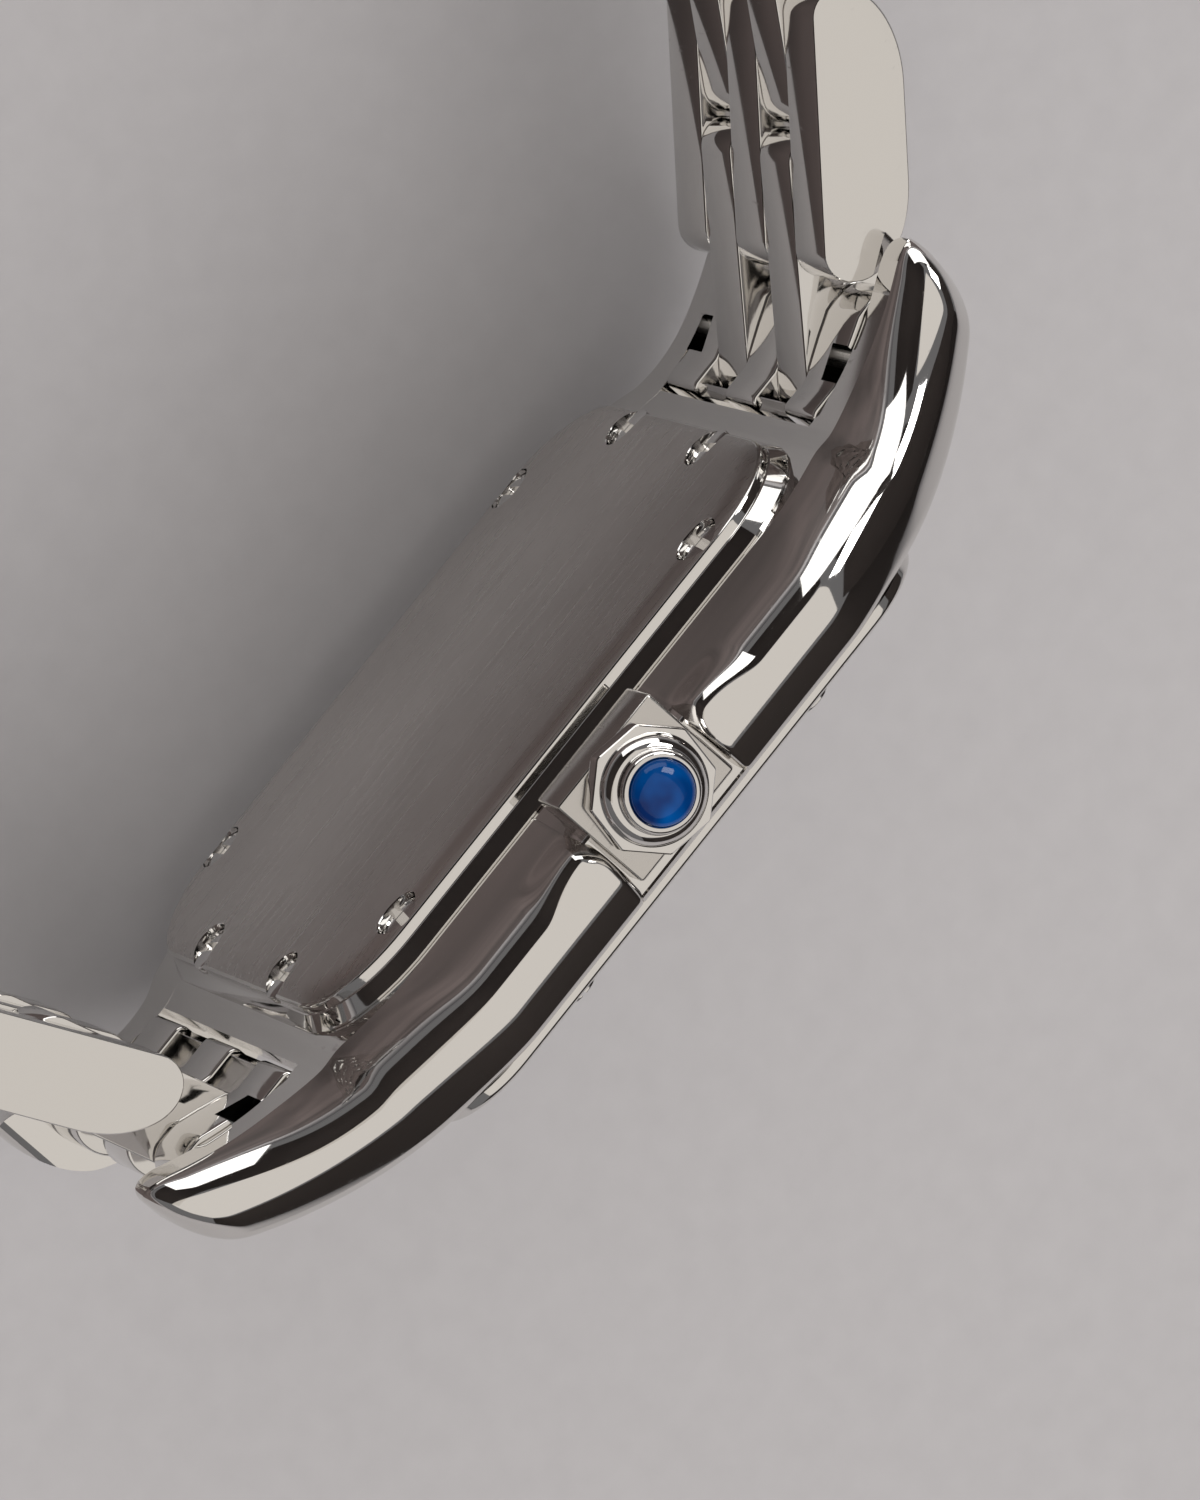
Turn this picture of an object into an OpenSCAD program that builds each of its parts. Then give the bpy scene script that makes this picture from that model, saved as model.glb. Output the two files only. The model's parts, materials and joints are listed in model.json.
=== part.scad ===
// Square wristwatch on a five-row brick bracelet, unfastened, standing on its 9 o'clock flank.
// +Z points to the crown at 3 o'clock, +X to 6 o'clock and +Y out of the case back.
// The origin is the centre of the outer face of the case back.

/* [Case] */
// Distance over the tips of the horns
lug_to_lug = 37.3; // [36.6:0.1:37.6]
// Width over the two flanks, without the crown
case_w = 26.6; // [26.2:0.1:27.4]
// Length of the closed body between its two end walls
body_len = 24.8; // [24.6:0.1:25.2]
// Distance from the face of the case back to the front of the body
body_front = 4.8; // [4.7:0.05:5]
// Distance from the face of the case back to the rim it sits on
rim_drop = 1.1; // [1:0.05:1.2]
// Length of the flat front before the horns curve back
front_flat = 22.2; // [21.6:0.2:22.6]
// Radius of the front curve of the horns
horn_front_r = 11.8; // [11.2:0.2:12.6]
// Amount by which each flank narrows towards the horn tip
horn_taper = 3.9; // [3.6:0.1:4.1]
// Length of the flank that keeps the full width
flank_straight = 15; // [13:0.5:17]
// Rounding of the front edge of the flank
front_round = 0.6; // [0.4:0.05:0.7]
// Amount by which the front edge stands in from the widest line
flank_bulge = 0.5; // [0.4:0.05:0.7]
// Width of the flat rear strip beside the long edges of the case back
strip_side = 0.2; // [0.15:0.05:0.4]
// Width of the flat rear strip on the horns
strip_horn = 1.45; // [1.3:0.05:1.6]
// Length over which the strip changes from one width to the other
strip_change = 6; // [5:0.5:7]
// Depth of the rear strip below the rim at the end walls
strip_dip = 0.15; // [0.1:0.05:0.2]
// Rise of the rear strip from the end wall to the horn tip
strip_rise = 2.08; // [1.9:0.02:2.2]
// Fullness of the shoulder between the rear strip and the flank
shoulder_full = 0.45; // [0.35:0.05:0.55]
// Length of the rounded end of each horn
horn_end = 1.3; // [1:0.05:1.6]

/* [Crown side] */
// Distance of the crown axis from the face of the case back
crown_drop = 2.25; // [2.2:0.01:2.3]
// Length of the square boss along the flank
boss_len = 4.4; // [4.2:0.05:4.6]
// Depth of the square boss across the flank
boss_depth = 3.6; // [3.4:0.05:3.8]
// Gap between the boss and each crown guard
guard_gap = 0.12; // [0.1:0.01:0.3]
// Depth of the recess that the boss stands in
recess_depth = 0.7; // [0.5:0.05:0.8]
// Radius of the rounded knob that ends each guard
knob_r = 0.8; // [0.7:0.02:0.9]
// Height of each knob over the shoulder
knob_rise = 0.2; // [0.1:0.05:0.3]
// Size of the crown over its corners
crown_d = 4.2; // [4:0.05:4.3]
// Height of the faceted part of the crown
crown_h = 0.9; // [0.8:0.05:1.1]
// Turn of the crown's corners from the 6 o'clock side
crown_corner_at = 12; // [0:1:44]
// Height of the dome and collar over the faceted part
collar_h = 0.6; // [0.5:0.05:0.8]
// Width of the crown's flat front face, measured at its corners
crown_face_w = 0.38; // [0.3:0.02:0.44]
// Outer diameter of the collar round the cabochon
collar_d = 2.56; // [2.45:0.01:2.7]
// Diameter of the cabochon
cabochon_d = 2.04; // [1.9:0.01:2.1]
// Height of the cabochon over its collar
cabochon_rise = 0.5; // [0.4:0.05:0.7]
// Outer diameter of the tube that guides the stem
tube_d = 1.8; // [1.7:0.02:1.9]
// Diameter of the stem
stem_d = 0.7; // [0.6:0.02:0.74]
// Distance the crown pulls out
crown_travel = 1; // [0.6:0.1:1.2]

/* [Case back] */
// Length of the case back plate
back_len = 22.8; // [22.6:0.1:23]
// Width of the case back plate
back_w = 20.4; // [20.2:0.1:20.8]
// Corner radius of the case back plate
back_corner = 3.8; // [3.4:0.1:4.2]
// Rounding of the polished shoulder
shoulder_r = 0.5; // [0.3:0.05:0.55]
// Width of the stepped lip round the plate
lip_step = 0.2; // [0.15:0.01:0.25]
// Height of the lip
lip_h = 0.45; // [0.35:0.05:0.5]
// Depth of the hollow inside the plate
back_hollow = 0.6; // [0.5:0.05:0.65]
// Lengthwise place of the four screws near the long edges
long_screw_x = 7.23; // [7:0.05:7.4]
// Distance of those four screws in from the long edge
long_screw_in = 1.25; // [1.2:0.05:1.3]
// Crosswise place of the four screws near the short edges
short_screw_z = 3.76; // [3.5:0.05:4]
// Distance of those four screws in from the short edge
short_screw_in = 1.05; // [1:0.01:1.1]
// Head diameter of the case back screws
back_head_d = 1.54; // [1.4:0.02:1.6]
// Shank diameter of the case back screws
back_shank_d = 0.8; // [0.7:0.02:0.84]
// Length of the case back screws
back_screw_len = 2.2; // [2:0.05:2.3]
// Depth of the heads below the plate
head_sink = 0.15; // [0.1:0.01:0.2]
// Thickness of the screw heads
back_head_h = 0.35; // [0.3:0.01:0.4]
// Width of the slots in the case back screws
back_slot_w = 0.34; // [0.2:0.02:0.4]
// Depth of those slots
back_slot_deep = 0.2; // [0.15:0.01:0.22]

/* [Front] */
// Length of the bezel, from the 12 to the 6 o'clock side
bezel_len = 22.4; // [22.4:0.1:23.2]
// Width of the bezel, across the flanks
bezel_w = 24.2; // [23.8:0.1:24.4]
// Corner radius of the bezel
bezel_corner = 2.8; // [2.2:0.1:3]
// Thickness of the bezel
bezel_h = 0.4; // [0.35:0.01:0.5]
// Rounding of the bezel's outer edge
bezel_edge = 0.2; // [0.1:0.02:0.3]
// Side of the square crystal
crystal_side = 17.8; // [17.6:0.1:18]
// Thickness of the crystal
crystal_t = 0.85; // [0.8:0.01:0.9]
// Corner radius of the crystal
crystal_corner = 1.2; // [1:0.1:1.5]
// Width of the crystal gasket
gasket_w = 0.25; // [0.2:0.01:0.3]
// Depth of the crystal seat below the front of the body
crystal_seat = 0.5; // [0.45:0.01:0.55]
// Height of the inner flange between dial and crystal
flange_h = 0.85; // [0.8:0.01:0.9]
// Width of the inner flange
flange_w = 0.7; // [0.5:0.05:0.8]
// Thickness of the dial
dial_t = 0.25; // [0.2:0.01:0.28]
// Distance of the bezel screws from the middle of each side
bezel_screw_out = 5.6; // [5.2:0.1:6]
// Head diameter of the bezel screws
bezel_head_d = 1.2; // [1.1:0.02:1.3]
// Height of the bezel screw heads over the bezel
bezel_head_h = 0.2; // [0.15:0.01:0.25]
// Shank diameter of the bezel screws
bezel_shank_d = 0.5; // [0.46:0.01:0.54]
// Length of the bezel screw shanks
bezel_screw_len = 1.2; // [1.1:0.05:1.3]

/* [Movement] */
// Length of the movement pocket
pocket_len = 18; // [17.8:0.1:18.2]
// Width of the movement pocket
pocket_w = 16.2; // [16:0.05:16.4]
// Thinnest wall of the ring that holds the movement
holder_wall = 0.8; // [0.75:0.05:0.9]
// Thickness of the main plate
plate_t = 1.7; // [1.65:0.01:1.75]
// Diameter of the battery
battery_d = 6; // [5.8:0.05:6.1]
// Thickness of the battery
battery_t = 1.6; // [1.5:0.01:1.65]
// Metal left outside the battery at the edge of the main plate
plate_edge = 0.15; // [0.1:0.01:0.2]
// Length of the motor coil
coil_len = 4.4; // [4:0.05:4.5]
// Diameter of the motor coil
coil_d = 1.4; // [1.3:0.02:1.46]
// Distance from the centre to the minute wheel
wheel_dist = 2; // [1.9:0.02:2.1]
// Length of the minute hand from the centre
minute_len = 7.2; // [6.5:0.1:7.6]
// Length of the hour hand from the centre
hour_len = 5; // [4.4:0.1:5.4]
// Thickness of the hands
hand_t = 0.1; // [0.08:0.01:0.12]
// Angle of the minute hand past 12
minute_angle = 48; // [0:6:360]
// Angle of the hour hand past 12
hour_angle = 304; // [0:0.5:360]

/* [Bracelet] */
// Distance between two neighbouring rows
row_pitch = 2.75; // [2.72:0.01:2.78]
// Side gap between neighbouring rows
row_gap = 0.07; // [0.05:0.01:0.1]
// Distance between two neighbouring hinges
hinge_pitch = 4.55; // [4.5:0.01:4.6]
// Gap between two links of one row on a straight bracelet
end_gap = 0.15; // [0.12:0.01:0.2]
// Thickness of a link
link_t = 2.85; // [2.8:0.01:2.95]
// Depth of the hinge below the wrist side
pin_depth = 1.25; // [1.2:0.01:1.28]
// Rounding of the wrist side's edges
wrist_round = 0.9; // [0.88:0.01:1]
// Length of the curved shoulder at each end
shoulder_len = 3; // [2.6:0.1:3.3]
// Diameter of the hinge pins
pin_d = 1; // [0.9:0.02:1.06]
// Radial clearance of a pin in the links that turn on it
pin_gap = 0.05; // [0.03:0.01:0.07]
// Radial clearance of a pin in the links that hold it
hold_gap = 0.01; // [0.01:0.005:0.02]
// Metal left outside each end of the hinge pins
pin_cover = 0.6; // [0.4:0.05:0.8]
// Distance of the first hinge from the end wall of the body
lug_hinge_out = 2.9; // [2.8:0.05:3]
// Distance of the first hinge from the face of the case back
lug_hinge_drop = 1.54; // [1.5:0.01:1.58]
// Gap between the end link and the end wall of the body
end_link_gap = 0.25; // [0.2:0.01:0.3]
// Length of the low part of each end link finger beside the case back
finger_low = 1.3; // [1.1:0.1:1.5]
// Slope of the finger over the first hinge, in mm for each mm
finger_slope = 0.41; // [0.3:0.01:0.5]
// Length of the slot that shows the lug bar
bar_slot_len = 1.1; // [0.9:0.05:1.2]
// Depth of that slot from the side of the end link
bar_slot_deep = 1.3; // [1.1:0.05:1.4]
// Bend of the first hinge on the 6 o'clock side
first_bend_six = 46; // [40:1:52]
// Bend of the second hinge on the 6 o'clock side
second_bend_six = -2; // [-4:1:2]
// Bend of each further hinge on the 6 o'clock side
curl_six = 7; // [4:0.5:8]
// Bend of the first hinge on the 12 o'clock side
first_bend_twelve = 75; // [70:1:78]
// Bend of the second hinge on the 12 o'clock side
second_bend_twelve = -9; // [-10:1:-4]
// Bend of each further hinge on the 12 o'clock side
curl_twelve = 4; // [2:0.5:5]

/* [Clasp] */
// Length of the box half beyond its hinge
box_len = 14.5; // [14:0.1:15]
// Depth of the slot for the tongue
slot_len = 9.5; // [9.2:0.1:10]
// Width of the tongue
tongue_w = 8.2; // [7.8:0.1:8.4]
// Thickness of the tongue
tongue_t = 1; // [0.9:0.01:1.1]
// Length of the tongue
tongue_len = 9; // [8.6:0.1:9.1]
// Length of the block that carries the tongue, beyond its hinge
tongue_root = 5.6; // [5.2:0.1:6]
// Clearance round the tongue in its slot
tongue_gap = 0.15; // [0.1:0.01:0.2]
// Diameter of the push buttons
button_d = 1.2; // [1.1:0.02:1.3]
// Diameter of the shoulder that keeps each button in
button_shoulder_d = 1.7; // [1.6:0.02:1.76]
// Distance each button can be pressed
button_travel = 0.5; // [0.3:0.05:0.6]
// Height of each button over the side of the clasp
button_rise = 0.55; // [0.55:0.05:0.65]

/* [Hidden] */
$fn = 48;
eps = 0.01;
fit_gap = 0.05;
cell_wall = 0.05;
six = 1;
twelve = -1;
body_half = body_len / 2;
rim_y = -rim_drop;
front_y = -body_front;
tip_x = lug_to_lug / 2;
flank_z = case_w / 2;
crown_y = -crown_drop;
boss_rear_y = crown_y + boss_depth / 2 - 0.05;
boss_front_y = boss_rear_y - boss_depth;
boss_z = flank_z - 0.1;
knob_x = boss_len / 2 + guard_gap + knob_r - 0.1;
lug_hinge_x = body_half + lug_hinge_out;
back_half = back_len / 2;
plate_d = pocket_w - 2 * holder_wall;
battery_off = (plate_d / 2 - plate_edge - battery_d / 2 - cell_wall) * sqrt(0.5);
rows_w = 5 * row_pitch - row_gap;
horn_in_z = rows_w / 2 + 0.12;
link_w = row_pitch - row_gap;
link_len = 2 * hinge_pitch - end_gap;
link_over = link_len / 2 - hinge_pitch / 2;
end_near = end_link_gap - lug_hinge_out;
bridge_gap = 0.12;
bar_slot_low = 1.36;
pin_half = rows_w / 2 - pin_cover;
pin_r = pin_d / 2;
long_screw_z = back_w / 2 - long_screw_in;
short_screw_x = back_len / 2 - short_screw_in;
seat_y = front_y + crystal_seat;
dial_y = seat_y + flange_h;
dial_back_y = dial_y + dial_t;
crystal_y = seat_y - crystal_t;
front_half = crystal_side / 2 + gasket_w + fit_gap;
plate_back_y = dial_back_y + plate_t;
back_in_y = -rim_drop + back_hollow;
pocket_corner = 2.5;
back_step = 0.6;
seal_t = 0.3;
seal_w = 0.28;
seal_out = 0.4;
crown_z = flank_z + 0.05;
collar_z = crown_z + crown_h;
cabochon_z = collar_z + collar_h;
crown_face_z = collar_z - 0.22;
crown_foot_r = crown_d / 2 - crown_face_w;
tube_in_z = pocket_w / 2 + 1.5;
tube_out_z = boss_z + 0.5;
stem_in_z = 3;
clutch_h = 0.8;
clutch_z = plate_d / 2 - clutch_h - 0.4;
clutch_d = 1.2;
shaft_side = stem_d * 0.72;
bezel_screw_inset = 0.85;
cannon_teeth = 10;
minute_wheel_teeth = 30;
minute_pinion_teeth = 8;
hour_wheel_teeth = 32;
cannon_r = wheel_dist * cannon_teeth / (cannon_teeth + minute_wheel_teeth);
minute_wheel_r = wheel_dist - cannon_r;
minute_pinion_r = wheel_dist * minute_pinion_teeth / (minute_pinion_teeth + hour_wheel_teeth);
hour_wheel_r = wheel_dist - minute_pinion_r;
gear_t = 0.16;
hour_wheel_y = dial_back_y + 0.04;
cannon_y = hour_wheel_y + gear_t + 0.06;
cannon_tube_r = 0.3;
hour_tube_r = 0.6;
hour_hand_y = dial_y - 0.15;
minute_hand_y = hour_hand_y - hand_t - 0.2;
hand_hub_r = 0.55;
battery_y = plate_back_y + 0.45;
jewel_r = 0.25;
rotor_r = 0.45;
stator_w = 1.5;
coil_z = -plate_d / 4 + 0.05;
coil_x = 0.8;
button_s = box_len - slot_len / 2 - 0.4;
clasp_n = pin_depth - link_t / 2;
slot_half_w = tongue_w / 2 + tongue_gap;
slot_half_t = tongue_t / 2 + tongue_gap;
button_step_z = rows_w / 2 - 0.75;

// Draws a flat outline given in X and Z and gives it depth along Y
module along_y(low, high) {
  translate([0, high, 0]) rotate([90, 0, 0]) linear_extrude(high - low) children();
}

// Places a round or turned piece so that its axis runs along Y
module axis_y(x, z) {
  translate([x, 0, z]) rotate([-90, 0, 0]) children();
}

module rounded_square(len, wid, corner) {
  union() {
    square([len - 2 * corner, wid], center = true);
    square([len, wid - 2 * corner], center = true);
    for (sx = [-1, 1], sz = [-1, 1])
      translate([sx * (len / 2 - corner), sz * (wid / 2 - corner)]) circle(corner);
  }
}

module rounded_ring(len, wid, corner, wall) {
  difference() {
    rounded_square(len, wid, corner);
    rounded_square(len - 2 * wall, wid - 2 * wall, max(corner - wall, 0.2));
  }
}

// Plate between two Y levels whose face at y_round has a true rounded edge
module soft_plate(len, wid, corner, y_flat, y_round, edge) {
  way = y_round > y_flat ? 1 : -1;
  y_mid = y_round - way * edge;
  along_y(min(y_flat, y_mid), max(y_flat, y_mid)) rounded_square(len, wid, corner);
  along_y(min(y_flat, y_round), max(y_flat, y_round))
    rounded_square(len - 2 * edge, wid - 2 * edge, corner - edge);
  for (s = [-1, 1]) {
    translate([0, y_mid, s * (wid / 2 - edge)]) rotate([0, 90, 0])
      cylinder(h = len - 2 * corner, r = edge, center = true);
    translate([s * (len / 2 - edge), y_mid, 0])
      cylinder(h = wid - 2 * corner, r = edge, center = true);
  }
  for (sx = [-1, 1], sz = [-1, 1])
    translate([sx * (len / 2 - corner), y_mid, sz * (wid / 2 - corner)]) rotate([90, 0, 0])
      rotate_extrude() translate([corner - edge, 0]) circle(edge);
}

// Case middle: two lofted flanks with horns on a straight closed body
function front_line(a) =
  let (d = max(0, a - front_flat / 2))
  front_y + horn_front_r - sqrt(horn_front_r * horn_front_r - d * d);
function ease(t) = let (u = min(1, max(0, t))) u * u * (3 - 2 * u);
function widest_line(a) =
  flank_z - horn_taper * ease(pow(max(0, a - flank_straight / 2) / (tip_x - flank_straight / 2), 0.85));
function strip_line(a) =
  rim_y - strip_dip * ease((a - back_half) / (body_half - back_half))
  + strip_rise * pow(max(0, a - body_half) / (tip_x - body_half), 1.8);
function strip_edge(a) =
  let (side = back_w / 2 + strip_side, horn = horn_in_z + strip_horn)
  side + (horn - side) * ease((a - back_half + back_corner - 1) / strip_change);
function end_scale(a) =
  let (d = min(1, max(0, a - (tip_x - horn_end)) / horn_end))
  max(0.12, pow(1 - pow(d, 2.4), 1 / 2.4));
function curve_points(p0, p1, p2, p3, n) =
  [for (i = [1:n]) let (t = i / n, u = 1 - t)
    u * u * u * p0 + 3 * u * u * t * p1 + 3 * u * t * t * p2 + t * t * t * p3];
// Outline of one flank across its length, as [y, z] points from the front to the rear strip
function flank_section(a) =
  let (
    y_front = front_line(a),
    y_strip = strip_line(a),
    z_strip = strip_edge(a),
    z_wide = widest_line(a),
    y_wide = (y_front + y_strip) / 2,
    high = y_strip - y_front,
    reach = shoulder_full * (z_wide - z_strip),
    z_front = z_wide - flank_bulge - front_round,
    y_bend = y_front + front_round,
    bend_end = [y_bend - front_round * cos(60), z_front + front_round * sin(60)]
  )
  concat(
    [[y_front, horn_in_z], [y_front, z_front]],
    [for (t = [20:20:60]) [y_bend - front_round * cos(t), z_front + front_round * sin(t)]],
    curve_points(bend_end, bend_end + [0.14 * high, 0.3], [y_wide - 0.14 * high, z_wide], [y_wide, z_wide], 3),
    curve_points([y_wide, z_wide], [y_wide + 0.21 * high, z_wide],
                 [y_strip - 0.35 * reach, z_strip + reach], [y_strip, z_strip], 7),
    [[y_strip, horn_in_z]]
  );
function shrink(points, s) =
  let (
    y_low = min([for (p = points) p[0]]),
    y_mid = y_low + (max([for (p = points) p[0]]) - y_low) * 0.72,
    z_mid = horn_in_z + (max([for (p = points) p[1]]) - horn_in_z) * 0.35
  )
  [for (p = points) [y_mid + (p[0] - y_mid) * s, z_mid + (p[1] - z_mid) * s]];
module flank() {
  n = 22;
  stations = [for (i = [-n:n]) tip_x * sin(90 * i / n)];
  rings = [for (x = stations) shrink(flank_section(abs(x)), end_scale(abs(x)))];
  m = len(rings[0]);
  last = len(stations) - 1;
  points = [for (i = [0:last]) for (p = rings[i]) [stations[i], p[0], p[1]]];
  faces = concat(
    [for (i = [0:last - 1]) for (j = [0:m - 1]) [i * m + j, i * m + (j + 1) % m, (i + 1) * m + j]],
    [for (i = [0:last - 1]) for (j = [0:m - 1])
      [i * m + (j + 1) % m, (i + 1) * m + (j + 1) % m, (i + 1) * m + j]],
    [[for (j = [m - 1:-1:0]) j]],
    [[for (j = [0:m - 1]) last * m + j]]
  );
  polyhedron(points, faces);
}
module body_block() {
  span = 2 * horn_in_z + 1;
  steps = [for (i = [0:8]) front_flat / 2 + (body_half - front_flat / 2) * i / 8];
  rear = [for (i = [0:4]) back_half + (body_half - back_half) * i / 4];
  half = concat([for (x = steps) [x, front_line(x)]], [for (i = [4:-1:0]) [rear[i], strip_line(rear[i])]]);
  last = len(half) - 1;
  translate([0, 0, -span / 2]) linear_extrude(span)
    polygon(concat(half, [for (i = [last:-1:0]) [-half[i][0], half[i][1]]]));
}
module back_screw_places() {
  for (sx = [-1, 1], sz = [-1, 1]) {
    axis_y(sx * long_screw_x, sz * long_screw_z) children();
    axis_y(sx * short_screw_x, sz * short_screw_z) children();
  }
}
module bezel_screw_places() {
  for (sx = [-1, 1], sz = [-1, 1]) {
    axis_y(sx * bezel_screw_out, sz * (bezel_w / 2 - bezel_screw_inset)) children();
    axis_y(sx * (bezel_len / 2 - bezel_screw_inset), sz * bezel_screw_out) children();
  }
}
module crown_boss() {
  translate([-boss_len / 2, boss_front_y, boss_z - 2])
    cube([boss_len, boss_depth, 2]);
}
// The knob stands out of the middle of the shoulder by its rise
module guard_knob(s) {
  on = flank_section(knob_x);
  mid = len(on) - 6;
  along = on[mid + 1] - on[mid - 1];
  out = [-along[1], along[0]] / norm(along);
  at = on[mid] - (knob_r - knob_rise) * out;
  translate([s * knob_x, at[0], at[1]]) sphere(knob_r);
}
module case_middle() {
  color("gainsboro") difference() {
    union() {
      difference() {
        union() {
          body_block();
          flank();
          mirror([0, 0, 1]) flank();
        }
        translate([-boss_len / 2 - guard_gap, front_y + 0.3, flank_z - recess_depth])
          cube([boss_len + 2 * guard_gap, body_front, 3]);
      }
      for (s = [-1, 1]) guard_knob(s);
      crown_boss();
    }
    along_y(dial_back_y - eps, 0) rounded_square(pocket_len, pocket_w, pocket_corner);
    along_y(front_y - 1, dial_back_y)
      rounded_square(2 * front_half, 2 * front_half, crystal_corner + gasket_w);
    translate([0, crown_y, tube_in_z]) cylinder(h = 6, r = tube_d / 2 + hold_gap);
    translate([0, crown_y, pocket_w / 2 - 1]) cylinder(h = 4, r = stem_d / 2 + 0.15);
    back_screw_places() translate([0, 0, -back_screw_len - head_sink - hold_gap])
      cylinder(h = back_screw_len, r = back_shank_d / 2 + hold_gap);
    bezel_screw_places() translate([0, 0, front_y - 1])
      cylinder(h = bezel_screw_len - bezel_h + 1 + hold_gap, r = bezel_shank_d / 2 + hold_gap);
    gasket_groove(fit_gap);
    for (s = [-1, 1]) translate([s * lug_hinge_x, -lug_hinge_drop, 0])
      cylinder(h = 2 * (horn_in_z + 1), r = pin_r + hold_gap, center = true);
  }
}

module bezel() {
  color("gainsboro") difference() {
    soft_plate(bezel_len, bezel_w, bezel_corner, front_y, front_y - bezel_h, bezel_edge);
    along_y(front_y - 1, front_y + 1)
      rounded_square(crystal_side + 2 * fit_gap, crystal_side + 2 * fit_gap, crystal_corner + fit_gap);
    bezel_screw_places() translate([0, 0, front_y - 1]) cylinder(h = 2, r = bezel_shank_d / 2 + hold_gap);
  }
}
module bezel_screws() {
  color("silver") bezel_screw_places() translate([0, 0, front_y - bezel_h - bezel_head_h]) difference() {
    union() {
      cylinder(h = bezel_head_h, r = bezel_head_d / 2);
      cylinder(h = bezel_head_h + bezel_screw_len, r = bezel_shank_d / 2);
    }
    translate([-bezel_head_d, -0.08, -eps]) cube([2 * bezel_head_d, 0.16, bezel_head_h * 0.6]);
  }
}
module crystal() {
  color("lightcyan", 0.4) soft_plate(crystal_side, crystal_side, crystal_corner, seat_y, crystal_y, 0.15);
}
module crystal_gasket() {
  color("dimgray") along_y(front_y + fit_gap, seat_y)
    rounded_ring(crystal_side + 2 * gasket_w, crystal_side + 2 * gasket_w, crystal_corner + gasket_w,
                 gasket_w - hold_gap);
}
module dial_flange() {
  color("ivory") along_y(seat_y + hold_gap, dial_y)
    rounded_ring(2 * front_half - 2 * fit_gap, 2 * front_half - 2 * fit_gap,
                 crystal_corner + gasket_w, flange_w);
}
module dial() {
  color("ivory") difference() {
    along_y(dial_y, dial_back_y)
      rounded_square(2 * front_half - 2 * fit_gap, 2 * front_half - 2 * fit_gap, crystal_corner + gasket_w);
    axis_y(0, 0) translate([0, 0, dial_y - 1]) cylinder(h = 2, r = hour_tube_r + 0.15);
  }
}

// Movement: plate with pockets for battery, coil, stem and motion work
module stem_way(radius) {
  translate([0, crown_y, stem_in_z - 0.3]) cylinder(h = pocket_w, r = radius);
}
module movement_ring() {
  color("whitesmoke") difference() {
    along_y(dial_back_y, plate_back_y)
      rounded_square(pocket_len - 2 * fit_gap, pocket_w - 2 * fit_gap, pocket_corner - 0.1);
    axis_y(0, 0) translate([0, 0, dial_back_y - 1]) cylinder(h = 4, r = plate_d / 2 + fit_gap);
    stem_way(stem_d / 2 + 0.12);
  }
}
module main_plate() {
  color("goldenrod") difference() {
    axis_y(0, 0) translate([0, 0, dial_back_y]) cylinder(h = plate_t, r = plate_d / 2);
    axis_y(-battery_off, -battery_off) translate([0, 0, battery_y - battery_t - fit_gap])
      cylinder(h = 3, r = battery_d / 2 + cell_wall);
    translate([coil_x - 0.3, plate_back_y - coil_d, coil_z - coil_d / 2 - fit_gap])
      cube([coil_len + 0.6, 2, coil_d + 2 * fit_gap]);
    stem_way(stem_d / 2 + 0.12);
    translate([0, crown_y, clutch_z - 0.2]) cylinder(h = clutch_h + 0.4, r = clutch_d / 2 + 0.12);
    axis_y(0, 0) translate([0, 0, dial_back_y - eps])
      cylinder(h = hour_wheel_y + gear_t - dial_back_y + 0.04, r = hour_wheel_r + 0.25);
    axis_y(0, 0) translate([0, 0, dial_back_y - eps])
      cylinder(h = cannon_y + gear_t - dial_back_y + 0.08, r = cannon_r + 0.2);
    axis_y(wheel_dist, 0) translate([0, 0, dial_back_y - eps])
      cylinder(h = cannon_y + gear_t - dial_back_y + 0.08, r = minute_wheel_r + 0.2);
    axis_y(wheel_dist, 0) translate([0, 0, dial_back_y]) cylinder(h = 1.3, r = 0.2);
    axis_y(0, 0) translate([0, 0, dial_back_y - 1]) cylinder(h = 4, r = cannon_tube_r + fit_gap);
  }
}
module battery() {
  color("silver") axis_y(-battery_off, -battery_off) {
    translate([0, 0, battery_y - battery_t]) cylinder(h = battery_t, r = battery_d / 2 - 0.25);
    translate([0, 0, battery_y - battery_t + 0.3]) cylinder(h = battery_t - 0.3, r = battery_d / 2);
  }
}
module board_area() {
  difference() {
    circle(plate_d / 2 - 0.3);
    translate([-0.6, -10]) square([20, 20]);
    translate([-20, -10]) square([40, 10.3]);
  }
}
module circuit_board() {
  color("darkgreen") along_y(plate_back_y, plate_back_y + 0.2) board_area();
}
module motor_coil() {
  color("peru") translate([coil_x, plate_back_y - coil_d / 2 + 0.05, coil_z]) rotate([0, 90, 0]) {
    cylinder(h = coil_len, r = coil_d / 2 - 0.15);
    cylinder(h = 0.3, r = coil_d / 2 - 0.05);
    translate([0, 0, coil_len - 0.3]) cylinder(h = 0.3, r = coil_d / 2 - 0.05);
  }
}
module motor_stator() {
  color("lightsteelblue") along_y(plate_back_y, plate_back_y + 0.3) difference() {
    translate([coil_x - 0.1, coil_z + coil_d / 2 + 0.2]) square([coil_len + 0.8, stator_w]);
    translate([coil_x + coil_len / 2 + 0.3, coil_z + coil_d / 2 + 0.2 + stator_w / 2]) circle(rotor_r);
  }
}
module train_bridge() {
  color("silver") along_y(plate_back_y, plate_back_y + 0.4) difference() {
    intersection() {
      circle(plate_d / 2 - 0.3);
      translate([-0.4, -0.9]) square([plate_d, plate_d]);
    }
    circle(cannon_tube_r + 0.15);
    for (p = [[0.55, 0.16], [0.19, 0.63], [0.71, 0.47]]) translate(p * plate_d / 2) circle(jewel_r);
  }
}
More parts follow.
